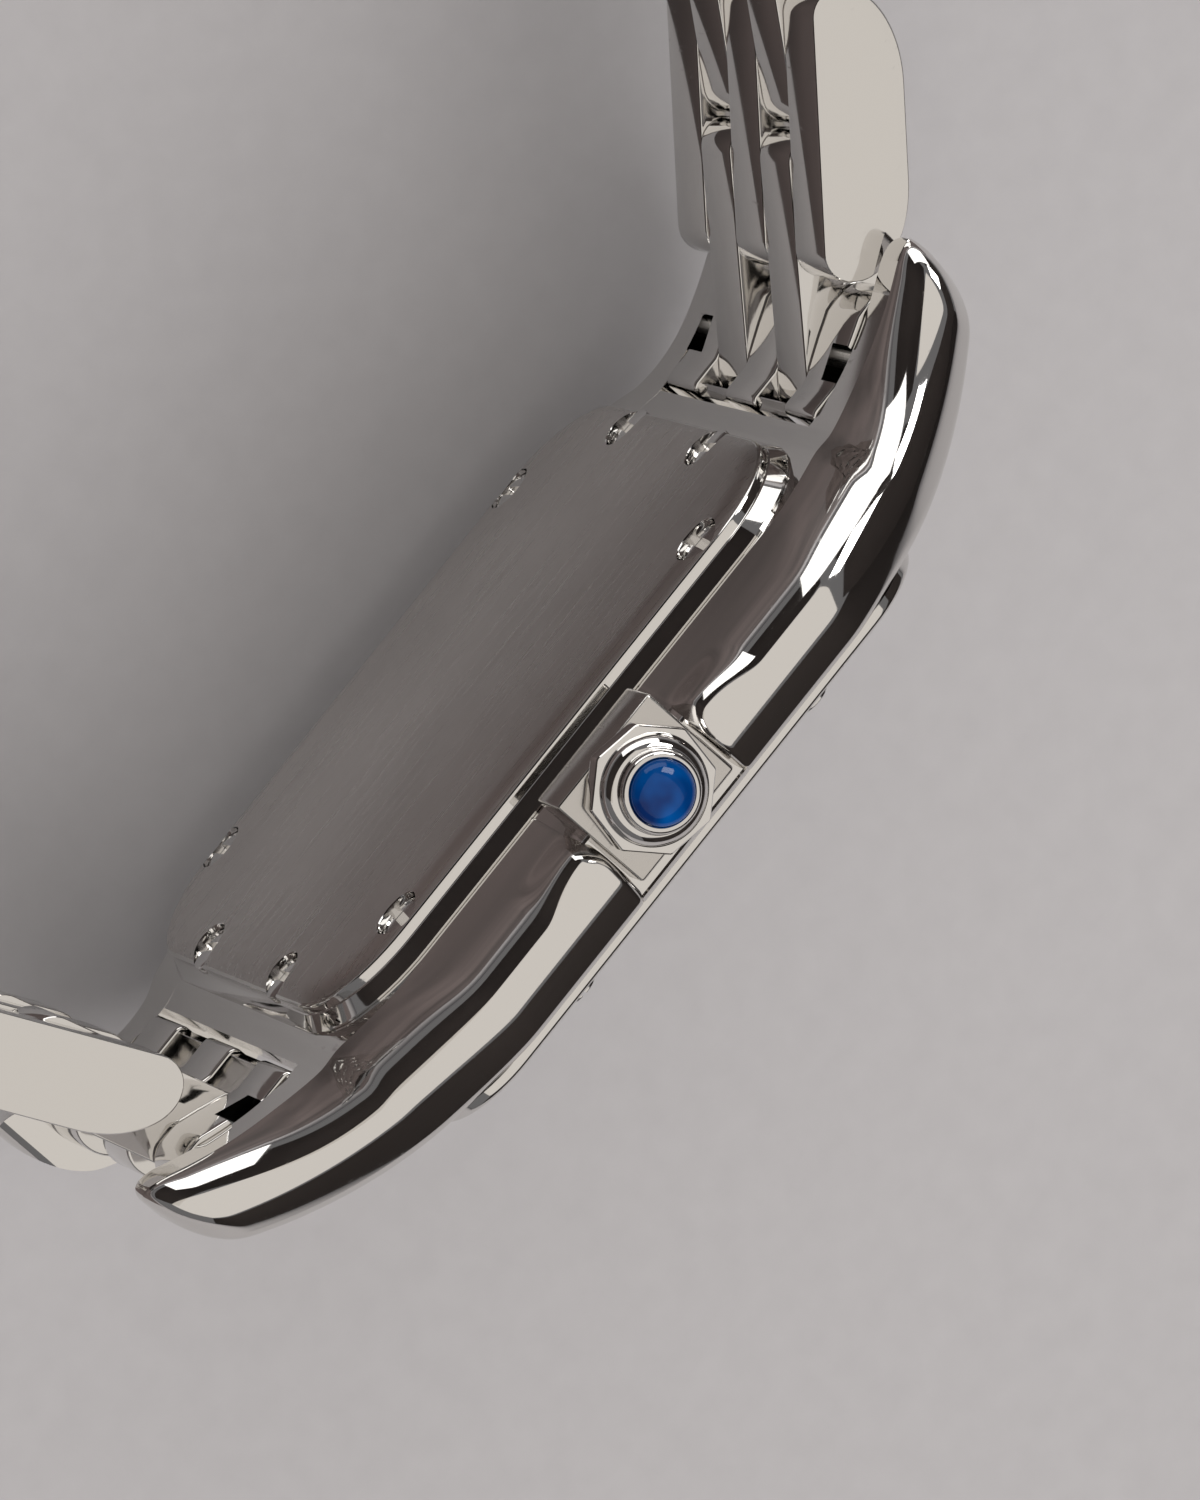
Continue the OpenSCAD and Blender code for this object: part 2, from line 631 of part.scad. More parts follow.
module gear(teeth, radius) {
  points = [for (i = [0:teeth - 1], c = [[-0.32, -0.09], [-0.16, 0.085], [0.16, 0.085], [0.32, -0.09]])
    let (a = 360 / teeth * (i + c[0]), r = radius + c[1]) [r * cos(a), r * sin(a)]];
  polygon(points);
}
module cannon_pinion() {
  color("khaki") union() {
    axis_y(0, 0) translate([0, 0, minute_hand_y - 0.1])
      cylinder(h = plate_back_y + 0.3 - minute_hand_y, r = cannon_tube_r);
    along_y(cannon_y, cannon_y + gear_t) gear(cannon_teeth, cannon_r);
  }
}
module minute_wheel() {
  color("khaki") translate([wheel_dist, 0, 0]) {
    along_y(cannon_y, cannon_y + gear_t)
      rotate(180 + 180 / minute_wheel_teeth) gear(minute_wheel_teeth, minute_wheel_r);
    along_y(hour_wheel_y, cannon_y + eps)
      rotate(180 + 180 / minute_pinion_teeth) gear(minute_pinion_teeth, minute_pinion_r);
    axis_y(0, 0) translate([0, 0, hour_wheel_y]) cylinder(h = 1.15, r = 0.2 - fit_gap);
  }
}
module hour_wheel() {
  color("khaki") difference() {
    union() {
      along_y(hour_wheel_y, hour_wheel_y + gear_t) gear(hour_wheel_teeth, hour_wheel_r);
      axis_y(0, 0) translate([0, 0, hour_hand_y - hand_t])
        cylinder(h = hour_wheel_y - hour_hand_y + hand_t + eps, r = hour_tube_r - 0.1);
    }
    axis_y(0, 0) translate([0, 0, minute_hand_y]) cylinder(h = 4, r = cannon_tube_r + fit_gap);
  }
}
module hand(length, width, hub_in_r, hub_out_r, angle) {
  rotate(180 - angle) difference() {
    union() {
      circle(hub_out_r);
      polygon([[-0.9, -width * 0.3], [0, -width * 0.4], [length * 0.62, -width * 0.5], [length, -0.04],
               [length, 0.04], [length * 0.62, width * 0.5], [0, width * 0.4], [-0.9, width * 0.3]]);
    }
    circle(hub_in_r);
  }
}
module hour_hand() {
  color("navy") along_y(hour_hand_y - hand_t, hour_hand_y)
    hand(hour_len, 0.75, hour_tube_r - 0.1 + hold_gap, hand_hub_r + 0.25, hour_angle);
}
module minute_hand() {
  color("navy") along_y(minute_hand_y - hand_t, minute_hand_y)
    hand(minute_len, 0.6, cannon_tube_r + hold_gap, hand_hub_r, minute_angle);
}

// Crown, stem and cabochon turn together and slide on the square of the stem
module crown_tube() {
  color("silver") translate([0, crown_y, tube_in_z]) difference() {
    cylinder(h = tube_out_z - tube_in_z, r = tube_d / 2);
    translate([0, 0, -eps]) cylinder(h = tube_out_z, r = stem_d / 2 + fit_gap);
  }
}
module clutch_wheel() {
  color("silver") translate([0, crown_y, clutch_z]) difference() {
    cylinder(h = clutch_h, r = clutch_d / 2);
    translate([0, 0, clutch_h / 2])
      cube([shaft_side + 2 * fit_gap, shaft_side + 2 * fit_gap, clutch_h + 1], center = true);
  }
}
module stem() {
  color("silver") translate([0, crown_y, 0]) {
    translate([0, 0, clutch_z + clutch_h + 0.1])
      cylinder(h = collar_z - 0.3 - clutch_z - clutch_h, r = stem_d / 2);
    translate([-shaft_side / 2, -shaft_side / 2, clutch_z - crown_travel - 0.5])
      cube([shaft_side, shaft_side, crown_travel + clutch_h + 0.7]);
    translate([0, 0, stem_in_z]) cylinder(h = clutch_z - crown_travel - 0.4 - stem_in_z, r = shaft_side / 2);
  }
}
module crown() {
  color("gainsboro") translate([0, crown_y, 0]) difference() {
    intersection() {
      translate([0, 0, crown_z]) rotate(crown_corner_at)
        cylinder(h = crown_h + collar_h, r = crown_d / 2, $fn = 8);
      rotate_extrude() polygon([[0, crown_z], [crown_d / 2 - 0.15, crown_z], [crown_d / 2, crown_z + 0.12],
        [crown_d / 2, crown_face_z - 0.1], [crown_d / 2 - 0.1, crown_face_z], [crown_foot_r, crown_face_z],
        [crown_foot_r - 0.1, crown_face_z + 0.18], [collar_d / 2 + 0.14, crown_face_z + 0.38],
        [collar_d / 2 + 0.01, crown_face_z + 0.46], [collar_d / 2, cabochon_z - 0.12],
        [collar_d / 2 - 0.1, cabochon_z], [0, cabochon_z]]);
    }
    translate([0, 0, collar_z]) cylinder(h = 2, r = cabochon_d / 2 + hold_gap);
    translate([0, 0, crown_z - eps]) cylinder(h = tube_out_z - crown_z + 0.15, r = tube_d / 2 + 0.42);
    translate([0, 0, crown_z]) cylinder(h = crown_h - 0.15, r = stem_d / 2 + hold_gap);
  }
}
module cabochon() {
  rise_r = (pow(cabochon_d / 2, 2) + pow(cabochon_rise, 2)) / (2 * cabochon_rise);
  color("royalblue") translate([0, crown_y, 0]) intersection() {
    translate([0, 0, collar_z]) cylinder(h = 3, r = cabochon_d / 2);
    translate([0, 0, cabochon_z + cabochon_rise - rise_r]) sphere(rise_r, $fn = 96);
  }
}
module crown_gasket() {
  color("dimgray") translate([0, crown_y, crown_z + 0.25]) rotate_extrude()
    translate([tube_d / 2 + 0.21, 0]) circle(0.19);
}

module case_back() {
  color("lightgray") difference() {
    union() {
      soft_plate(back_len - 2 * lip_step, back_w - 2 * lip_step, back_corner - lip_step,
                 rim_y, 0, shoulder_r);
      along_y(rim_y, rim_y + lip_h) rounded_square(back_len, back_w, back_corner);
    }
    along_y(rim_y - 1, back_in_y)
      rounded_square(pocket_len - back_step, pocket_w - back_step, pocket_corner - back_step / 2);
    back_screw_places() translate([0, 0, -head_sink - back_head_h]) {
      cylinder(h = 2, r = back_head_d / 2 + fit_gap);
      translate([0, 0, -2]) cylinder(h = 3, r = back_shank_d / 2 + hold_gap);
    }
  }
}
module gasket_groove(clear) {
  along_y(rim_y - seal_t - clear, rim_y + seal_t)
    rounded_ring(pocket_len + 2 * seal_out + 2 * clear, pocket_w + 2 * seal_out + 2 * clear,
                 pocket_corner + seal_out, seal_w + 2 * clear);
}
module case_back_gasket() {
  color("dimgray") intersection() {
    gasket_groove(0);
    along_y(rim_y - 1, rim_y - hold_gap) square([back_len, back_w], center = true);
  }
}
module case_back_screws() {
  color("silver") back_screw_places() translate([0, 0, -head_sink]) difference() {
    union() {
      translate([0, 0, -back_head_h]) cylinder(h = back_head_h, r = back_head_d / 2);
      translate([0, 0, -back_screw_len]) cylinder(h = back_screw_len, r = back_shank_d / 2);
    }
    translate([-back_slot_w / 2, -back_head_d, -back_slot_deep]) cube([back_slot_w, 2 * back_head_d, 1]);
  }
}

// Bracelet: side view of one link with its two hinges at half a pitch from its middle
function arc(cx, cy, rx, ry, from, to, n) =
  [for (i = [0:n]) let (a = from + (to - from) * i / n) [cx + rx * cos(a), cy + ry * sin(a)]];
module link_outline() {
  end = link_len / 2;
  outer = pin_depth - link_t;
  shoulder_h = link_t - wrist_round - 0.05;
  polygon(concat(
    arc(end - wrist_round, pin_depth - wrist_round, wrist_round, wrist_round, 0, 90, 6),
    arc(-end + wrist_round, pin_depth - wrist_round, wrist_round, wrist_round, 90, 180, 6),
    arc(-end + shoulder_len, outer + shoulder_h, shoulder_len, shoulder_h, 180, 270, 9),
    arc(end - shoulder_len, outer + shoulder_h, shoulder_len, shoulder_h, 270, 360, 9)
  ));
}
module row(r) {
  translate([0, 0, (r - 3) * row_pitch - link_w / 2]) linear_extrude(link_w) children();
}
function heading(side, k) =
  side == six
    ? first_bend_six + (k > 1 ? second_bend_six : 0) + max(0, k - 2) * curl_six
    : first_bend_twelve + (k > 1 ? second_bend_twelve : 0) + max(0, k - 2) * curl_twelve;
function hinge_at(side, k) =
  k == 1
    ? [lug_hinge_x, -lug_hinge_drop]
    : hinge_at(side, k - 1) + hinge_pitch * [cos(heading(side, k - 1)), sin(heading(side, k - 1))];
// Puts a piece drawn from its first hinge along +X on its place in the strand
module in_strand(side, k) {
  p = hinge_at(side, k);
  mirror([side == six ? 0 : 1, 0, 0]) translate([p[0], p[1], 0]) rotate(heading(side, k)) children();
}
function holds_pins(k) = k % 2 == 0;
module links(side, k) {
  rows = holds_pins(k) ? [1, 3, 5] : [2, 4];
  hole_r = holds_pins(k) ? pin_r + hold_gap : pin_r + pin_gap;
  color("gainsboro") in_strand(side, k) for (r = rows) difference() {
    row(r) translate([hinge_pitch / 2, 0]) link_outline();
    pin_way(hole_r);
    translate([hinge_pitch, 0, 0]) pin_way(hole_r);
  }
}
module pin_way(radius) {
  cylinder(h = 2 * (pin_half + hold_gap), r = radius, center = true);
}
module hinge_pin() {
  cylinder(h = 2 * pin_half, r = pin_r, center = true);
}
module pins(side, k) {
  color("silver") in_strand(side, k) {
    hinge_pin();
    translate([hinge_pitch, 0, 0]) hinge_pin();
  }
}
module end_link(side) {
  color("gainsboro") mirror([side == six ? 0 : 1, 0, 0])
  translate([lug_hinge_x, -lug_hinge_drop, 0]) difference() {
    union() {
      for (r = [1, 3, 5]) row(r) end_finger();
      translate([0, 0, -rows_w / 2]) linear_extrude(rows_w) end_bridge();
    }
    cylinder(h = 20, r = pin_r + hold_gap, center = true);
    for (s = [-1, 1]) translate([end_near + finger_low, -bar_slot_low, s * (rows_w / 2 - bar_slot_deep)])
      translate([0, 0, s > 0 ? 0 : -2]) cube([bar_slot_len, 5, 2]);
  }
}
// Finger of an end link, low beside the case back and rising over the hinge
module end_finger() {
  high = lug_hinge_drop - rim_drop;
  start = end_near + finger_low;
  intersection() {
    translate([-hinge_pitch / 2, 0]) link_outline();
    polygon([[end_near, -5], [end_near, high], [start, high],
             [start + 5, high + 5 * finger_slope], [start + 5, -5]]);
  }
}
module end_bridge() {
  intersection() {
    end_finger();
    translate([end_near, -5]) square([-link_over - bridge_gap - end_near, 10]);
  }
}
module lug_bar(side) {
  color("silver") translate([side * lug_hinge_x, -lug_hinge_drop, 0])
    cylinder(h = 2 * (horn_in_z + 0.9), r = pin_r, center = true);
}

// Clasp: a box half and a tongue half, each hinged on the last links
module clasp_fingers(last) {
  for (r = [1, 3, 5]) row(r) intersection() {
    translate([hinge_pitch / 2, 0]) link_outline();
    translate([-10, -5]) square([10 + last, 10]);
  }
}
module clasp_block(from, to) {
  translate([0, 0, -rows_w / 2]) linear_extrude(rows_w) hull() {
    translate([from, pin_depth - link_t]) square([eps, link_t]);
    translate([to - 1, clasp_n]) square([2, link_t * 0.72], center = true);
    translate([to - 1.6, clasp_n]) square([eps, link_t], center = true);
  }
}
module clasp_box() {
  color("gainsboro") in_strand(twelve, 8) difference() {
    union() {
      clasp_fingers(link_over + 0.5);
      clasp_block(link_over + 0.15, box_len);
    }
    pin_way(pin_r + hold_gap);
    translate([box_len - slot_len, clasp_n - slot_half_t, -slot_half_w])
      cube([slot_len + 1, 2 * slot_half_t, 2 * slot_half_w]);
    for (s = [-1, 1]) translate([button_s, clasp_n, 0]) mirror([0, 0, s > 0 ? 0 : 1]) {
      cylinder(h = 10, r = button_d / 2 + fit_gap);
      cylinder(h = button_step_z, r = button_shoulder_d / 2 + fit_gap);
    }
  }
}
module push_button(s) {
  shoulder_h = 0.5;
  color("gainsboro") in_strand(twelve, 8) translate([button_s, clasp_n, 0]) mirror([0, 0, s > 0 ? 0 : 1]) {
    translate([0, 0, button_step_z - shoulder_h])
      cylinder(h = rows_w / 2 + button_rise - button_step_z + shoulder_h, r = button_d / 2);
    translate([0, 0, button_step_z - shoulder_h - 0.02]) cylinder(h = shoulder_h, r = button_shoulder_d / 2);
    translate([0, 0, slot_half_w + 0.3])
      cylinder(h = button_step_z - slot_half_w - 0.5, r = button_d / 2 - 0.1);
  }
}
module clasp_tongue() {
  color("gainsboro") in_strand(six, 8) difference() {
    union() {
      clasp_fingers(link_over + 0.5);
      clasp_block(link_over + 0.15, tongue_root);
      along_tongue();
    }
    pin_way(pin_r + hold_gap);
  }
}
module along_tongue() {
  notch_s = tongue_root + slot_len / 2 + 0.4;
  translate([0, clasp_n + tongue_t / 2, 0]) rotate([90, 0, 0]) linear_extrude(tongue_t) difference() {
    union() {
      translate([tongue_root - 1, -tongue_w / 2]) square([tongue_len, tongue_w]);
      translate([tongue_root + tongue_len - 1.01, -tongue_w / 2 + 1]) square([1.01, tongue_w - 2]);
      for (s = [-1, 1]) translate([tongue_root + tongue_len - 1, s * (tongue_w / 2 - 1)]) circle(1);
    }
    for (s = [-1, 1]) translate([notch_s, s * tongue_w / 2]) square([1.4, 0.8], center = true);
  }
}
module clasp_pin(side) {
  color("silver") in_strand(side, 8) hinge_pin();
}

case_middle();
bezel();
bezel_screws();
crystal();
crystal_gasket();
dial();
dial_flange();
movement_ring();
main_plate();
battery();
circuit_board();
motor_coil();
motor_stator();
train_bridge();
cannon_pinion();
minute_hand();
hour_wheel();
hour_hand();
minute_wheel();
crown_tube();
clutch_wheel();
stem();
crown();
cabochon();
crown_gasket();
case_back();
case_back_gasket();
case_back_screws();
end_link(six);  // end_link_six
end_link(twelve);  // end_link_twelve
lug_bar(six);  // lug_bar_six
lug_bar(twelve);  // lug_bar_twelve
for (k = [1:7]) {
  links(six, k);
  links(twelve, k);
}
for (k = [2:2:6]) {
  pins(six, k);
  pins(twelve, k);
}
clasp_pin(six);  // clasp_pin_six
clasp_pin(twelve);  // clasp_pin_twelve
clasp_tongue();
clasp_box();
push_button(1);  // push_button_upper
push_button(-1);  // push_button_lower
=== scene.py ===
import json
import math

import bmesh
import bpy
import numpy as np
from mathutils import Matrix, Vector


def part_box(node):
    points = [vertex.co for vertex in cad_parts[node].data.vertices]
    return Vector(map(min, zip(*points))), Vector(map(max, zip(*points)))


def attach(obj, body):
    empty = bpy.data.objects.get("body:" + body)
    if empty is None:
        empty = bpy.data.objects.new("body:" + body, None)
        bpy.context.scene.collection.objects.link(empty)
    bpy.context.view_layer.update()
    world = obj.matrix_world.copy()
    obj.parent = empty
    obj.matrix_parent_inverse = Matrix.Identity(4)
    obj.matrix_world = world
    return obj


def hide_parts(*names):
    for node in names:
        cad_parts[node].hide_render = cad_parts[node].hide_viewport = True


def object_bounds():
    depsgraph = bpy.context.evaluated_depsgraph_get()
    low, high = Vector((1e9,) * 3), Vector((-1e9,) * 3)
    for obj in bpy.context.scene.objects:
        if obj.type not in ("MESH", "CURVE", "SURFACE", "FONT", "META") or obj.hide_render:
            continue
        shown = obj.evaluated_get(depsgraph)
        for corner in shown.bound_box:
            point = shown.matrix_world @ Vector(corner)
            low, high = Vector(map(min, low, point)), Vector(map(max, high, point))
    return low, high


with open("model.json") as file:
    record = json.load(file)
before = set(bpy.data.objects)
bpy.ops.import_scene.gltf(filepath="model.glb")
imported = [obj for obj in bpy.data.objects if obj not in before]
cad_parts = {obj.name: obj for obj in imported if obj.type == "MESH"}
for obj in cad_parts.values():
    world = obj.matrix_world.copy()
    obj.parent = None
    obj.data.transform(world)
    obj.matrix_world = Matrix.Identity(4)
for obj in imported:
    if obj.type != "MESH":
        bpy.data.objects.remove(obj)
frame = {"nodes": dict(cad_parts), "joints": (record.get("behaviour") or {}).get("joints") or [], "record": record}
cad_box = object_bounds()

# Sizes in metres. +X is 6 o'clock, +Y comes out of the case back, +Z is the crown side.
MM = 0.001
NODES = frame["nodes"]
JOINTS = {joint["name"]: joint for joint in frame["joints"]}

CASE_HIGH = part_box("case_middle")[1]
BACK_LOW, BACK_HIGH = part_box("case_back")
BEZEL_LOW, BEZEL_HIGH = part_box("bezel")
CRYSTAL_LOW, CRYSTAL_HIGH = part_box("crystal")
CROWN_LOW, CROWN_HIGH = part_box("crown")

# Case
TIP_X = CASE_HIGH.x
FLANK_Z = 13.3 * MM
BODY_HALF = 12.4 * MM
RIM_Y = BACK_LOW.y
FRONT_Y = BEZEL_HIGH.y
FRONT_FLAT_HALF = 11.1 * MM
HORN_FRONT_R = 11.8 * MM
HORN_TAPER = 3.9 * MM
FLANK_STRAIGHT_HALF = 7.5 * MM
FRONT_ROUND = 0.6 * MM
FLANK_BULGE = 0.48 * MM
HORN_IN_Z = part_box("links_six_2")[1].z + 0.12 * MM
STRIP_SIDE_Z = BACK_HIGH.z + 0.2 * MM
STRIP_HORN_Z = HORN_IN_Z + 1.45 * MM
STRIP_CHANGE = 6 * MM
STRIP_DIP = 0.15 * MM
STRIP_RISE = 2.08 * MM
STRIP_RISE_POWER = 1.8
SHOULDER_FULL = 0.45
SHOULDER_START = 26  # place of the shoulder's first point in a flank section
HORN_END = 1.3 * MM
HORN_END_POWER = 2.4
FLANK_STATIONS = 96
POCKET_HALF = 9.2 * MM
POCKET_DEEP_Y = -3.2 * MM
REAR_POCKET_X = 9 * MM
REAR_POCKET_Z = 8.1 * MM

# Case back and screws
BACK_CORNER = 3.8 * MM
BACK_STEP = 0.36 * MM
BACK_LIP = 0.54 * MM
BACK_EDGE_W = 0.13 * MM
BACK_FALL = 0.18 * MM
BACK_SHOULDER = 1.3 * MM
SINK_R = 0.8 * MM
SINK_Y = -0.5 * MM
BACK_SCREW_R = 0.77 * MM
BACK_SCREW_Y = -0.15 * MM
BACK_SLOT_W = 0.34 * MM
BACK_SLOT_TURNS = (4, -9, 8, -3, 12, 2, -6, 7)
BEZEL_SCREW_R = 0.6 * MM
BEZEL_SCREW_H = 0.19 * MM
BEZEL_SLOT_W = 0.16 * MM
BEZEL_SLOT_TURNS = (30, -12, 80, 45, -50, 5, 66, -28)

# Crown side
CROWN_Y = JOINTS["crown_turn"]["pos_m"][1]
BOSS_HALF_X = 2.2 * MM
BOSS_FRONT_Y = -4.1 * MM
BOSS_REAR_Y = -0.5 * MM
BOSS_Z = 13.2 * MM
GUARD_X = 2.32 * MM
GUARD_END = 0.35 * MM
RECESS_Z = FLANK_Z - 0.7 * MM
KNOB_X = 3.02 * MM
KNOB_RISE = 0.32 * MM
KNOB_BEFORE = 0.75 * MM
KNOB_AFTER = 2.2 * MM
KNOB_CENTRE = 0.36
CROWN_CORNER_DEG = 12
CROWN_FACE_DROP = 0.82 * MM
STONE_SEAT_R = 1.03 * MM
STONE_EDGE = 0.05 * MM

# Bracelet
HINGE_PITCH = 4.55 * MM
LINK_LEN = 8.95 * MM
LINK_T = 2.85 * MM
PIN_DEPTH = 1.25 * MM
WRIST_ROUND = 0.9 * MM
SHOULDER_LEN = 3 * MM
ROW_PITCH = 2.75 * MM
LINK_W = 2.68 * MM
ROWS_W = 13.68 * MM
LINK_BEVEL = 0.07 * MM
LINK_OUTER_Y = PIN_DEPTH - LINK_T
LINK_OVER = LINK_LEN / 2 - HINGE_PITCH / 2
SHOULDER_H = LINK_T - WRIST_ROUND - 0.05 * MM

# Clasp
BOX_REACH = 14.5 * MM
BOX_SLOT_DEEP = 9.5 * MM
BOX_SLOT_HALF_T = 0.65 * MM
BOX_SLOT_HALF_W = 4.25 * MM
BUTTON_SET = 0.4 * MM
BUTTON_X = BOX_REACH - BOX_SLOT_DEEP / 2 - BUTTON_SET
BUTTON_WAY_R = 0.65 * MM
TONGUE_ROOT = 5.6 * MM
TONGUE_LEN = 9 * MM
TONGUE_HALF_W = 4.1 * MM
NOTCH_HALF = 0.7 * MM
NOTCH_DEEP = 0.4 * MM


# Materials

def principled(name, colour, metallic, roughness):
    """A new material with its shader, and its node tree to build on."""
    mat = bpy.data.materials.new(name)
    mat.use_nodes = True
    tree = mat.node_tree
    shader = tree.nodes["Principled BSDF"]
    shader.inputs["Base Color"].default_value = (*colour, 1)
    shader.inputs["Metallic"].default_value = metallic
    shader.inputs["Roughness"].default_value = roughness
    return mat, tree, shader


def place_coords(tree, stretch=(1, 1, 1), turn=(0, 0, 0)):
    """Object coordinates, stretched for grain that runs one way."""
    coords = tree.nodes.new("ShaderNodeTexCoord")
    mapping = tree.nodes.new("ShaderNodeMapping")
    mapping.inputs["Scale"].default_value = stretch
    mapping.inputs["Rotation"].default_value = turn
    tree.links.new(coords.outputs["Object"], mapping.inputs["Vector"])
    return mapping.outputs["Vector"]


def noise(tree, vector, scale, detail=2.0, roughness=0.5):
    """Noise texture's factor at the given coordinates."""
    node = tree.nodes.new("ShaderNodeTexNoise")
    node.inputs["Scale"].default_value = scale
    node.inputs["Detail"].default_value = detail
    node.inputs["Roughness"].default_value = roughness
    tree.links.new(vector, node.inputs["Vector"])
    return node.outputs["Fac"]


def remap(tree, value, low, high, to_low, to_high):
    """Value carried from one range into another."""
    node = tree.nodes.new("ShaderNodeMapRange")
    node.inputs["From Min"].default_value = low
    node.inputs["From Max"].default_value = high
    node.inputs["To Min"].default_value = to_low
    node.inputs["To Max"].default_value = to_high
    tree.links.new(value, node.inputs["Value"])
    return node.outputs["Result"]


def mix_colour(tree, factor, first, second):
    """Colour between the first and the second."""
    node = tree.nodes.new("ShaderNodeMix")
    node.data_type = "RGBA"
    node.inputs["A"].default_value = (*first, 1)
    node.inputs["B"].default_value = (*second, 1)
    tree.links.new(factor, node.inputs["Factor"])
    return node.outputs["Result"]


def bump(tree, shader, height, strength, distance):
    """Fine relief on the shader's normal."""
    node = tree.nodes.new("ShaderNodeBump")
    node.inputs["Strength"].default_value = strength
    node.inputs["Distance"].default_value = distance
    tree.links.new(height, node.inputs["Height"])
    tree.links.new(node.outputs["Normal"], shader.inputs["Normal"])


def polished_steel(name, colour=(0.74, 0.725, 0.705), roughness=0.045, wear=1.0):
    """Mirror steel with hairline scratches and a faint unevenness of the polish."""
    mat, tree, shader = principled(name, colour, 1.0, roughness)
    vector = place_coords(tree)
    smear = noise(tree, vector, 420, 3)
    fine = noise(tree, place_coords(tree, (2600, 9000, 900), (0.5, 0.2, 0.9)), 1.0, 2)
    marks = remap(tree, fine, 0.66, 0.74, 0.0, 1.0)
    rough = remap(tree, smear, 0.35, 0.75, roughness * 0.8, roughness * 1.5)
    add = tree.nodes.new("ShaderNodeMath")
    add.operation = "MULTIPLY_ADD"
    add.inputs[1].default_value = 0.07 * wear
    tree.links.new(marks, add.inputs[0])
    tree.links.new(rough, add.inputs[2])
    tree.links.new(add.outputs[0], shader.inputs["Roughness"])
    bump(tree, shader, smear, 0.02 * wear, 0.02 * MM)
    return mat


def brushed_steel(name, colour, stretch, turn, roughness=0.3, depth=0.012):
    """Satin steel with grain along one way and a few brighter scratches across it."""
    mat, tree, shader = principled(name, colour, 1.0, roughness)
    grain = noise(tree, place_coords(tree, stretch, turn), 1.0, 4, 0.65)
    broad = noise(tree, place_coords(tree), 160, 3)
    scratch = noise(tree, place_coords(tree, (300, 300, 9000), (0.4, 0.7, 0.3)), 1.0, 1)
    marks = remap(tree, scratch, 0.70, 0.73, 0.0, 1.0)
    rough = remap(tree, grain, 0.3, 0.7, roughness * 0.8, roughness * 1.25)
    tree.links.new(rough, shader.inputs["Roughness"])
    shade = mix_colour(tree, remap(tree, broad, 0.3, 0.7, 0, 1), [c * 0.93 for c in colour],
                       [min(1, c * 1.06) for c in colour])
    tree.links.new(shade, shader.inputs["Base Color"])
    total = tree.nodes.new("ShaderNodeMath")
    total.operation = "MULTIPLY_ADD"
    total.inputs[1].default_value = -0.8
    tree.links.new(marks, total.inputs[0])
    tree.links.new(grain, total.inputs[2])
    bump(tree, shader, total.outputs[0], 0.5, depth * MM)
    return mat


def cabochon_blue():
    """Deep blue polished stone with lighter and darker clouds and a clear coat."""
    mat, tree, shader = principled("cabochon_blue", (0.0, 0.06, 0.30), 0.0, 0.06)
    clouds = noise(tree, place_coords(tree), 620, 2)
    shade = mix_colour(tree, remap(tree, clouds, 0.35, 0.65, 0, 1), (0.0, 0.09, 0.36), (0.0, 0.018, 0.11))
    tree.links.new(shade, shader.inputs["Base Color"])
    shader.inputs["Specular IOR Level"].default_value = 0.2
    shader.inputs["Coat Weight"].default_value = 0.12
    shader.inputs["Coat Roughness"].default_value = 0.02
    return mat


def crystal_glass():
    """Clear glass with faint dust."""
    mat, tree, shader = principled("crystal_glass", (0.98, 0.99, 1.0), 0.0, 0.0)
    shader.inputs["Transmission Weight"].default_value = 1.0
    shader.inputs["IOR"].default_value = 1.45
    dust = noise(tree, place_coords(tree), 700, 4)
    tree.links.new(remap(tree, dust, 0.45, 0.9, 0.0, 0.04), shader.inputs["Roughness"])
    return mat


def grained(name, colour, roughness, scale, depth, metallic=0.0, spread=0.1):
    """A painted, moulded or rubber surface with fine grain."""
    mat, tree, shader = principled(name, colour, metallic, roughness)
    grain = noise(tree, place_coords(tree), scale, 4)
    shade = mix_colour(tree, remap(tree, grain, 0.3, 0.7, 0, 1), [c * (1 - spread) for c in colour],
                       [min(1, c * (1 + spread)) for c in colour])
    tree.links.new(shade, shader.inputs["Base Color"])
    rough = remap(tree, grain, 0.3, 0.7, roughness * 0.85, roughness * 1.15)
    tree.links.new(rough, shader.inputs["Roughness"])
    bump(tree, shader, grain, 0.4, depth * MM)
    return mat


def wound_copper():
    """Varnished wire in close windings, with painted shade: darker in the grooves between windings and lighter on
    their crests.
    """
    mat, tree, shader = principled("wound_copper", (0.62, 0.27, 0.12), 1.0, 0.3)
    wave = tree.nodes.new("ShaderNodeTexWave")
    wave.bands_direction = "X"
    wave.inputs["Scale"].default_value = 3000
    wave.inputs["Distortion"].default_value = 0.4
    tree.links.new(place_coords(tree), wave.inputs["Vector"])
    bump(tree, shader, wave.outputs["Fac"], 0.5, 0.02 * MM)
    # Painted shade: the colour follows the winding bump, dark copper in the grooves and light copper on the
    # crests.
    shade = mix_colour(tree, wave.outputs["Fac"], (0.35, 0.12, 0.05), (0.78, 0.38, 0.18))
    tree.links.new(shade, shader.inputs["Base Color"])
    return mat


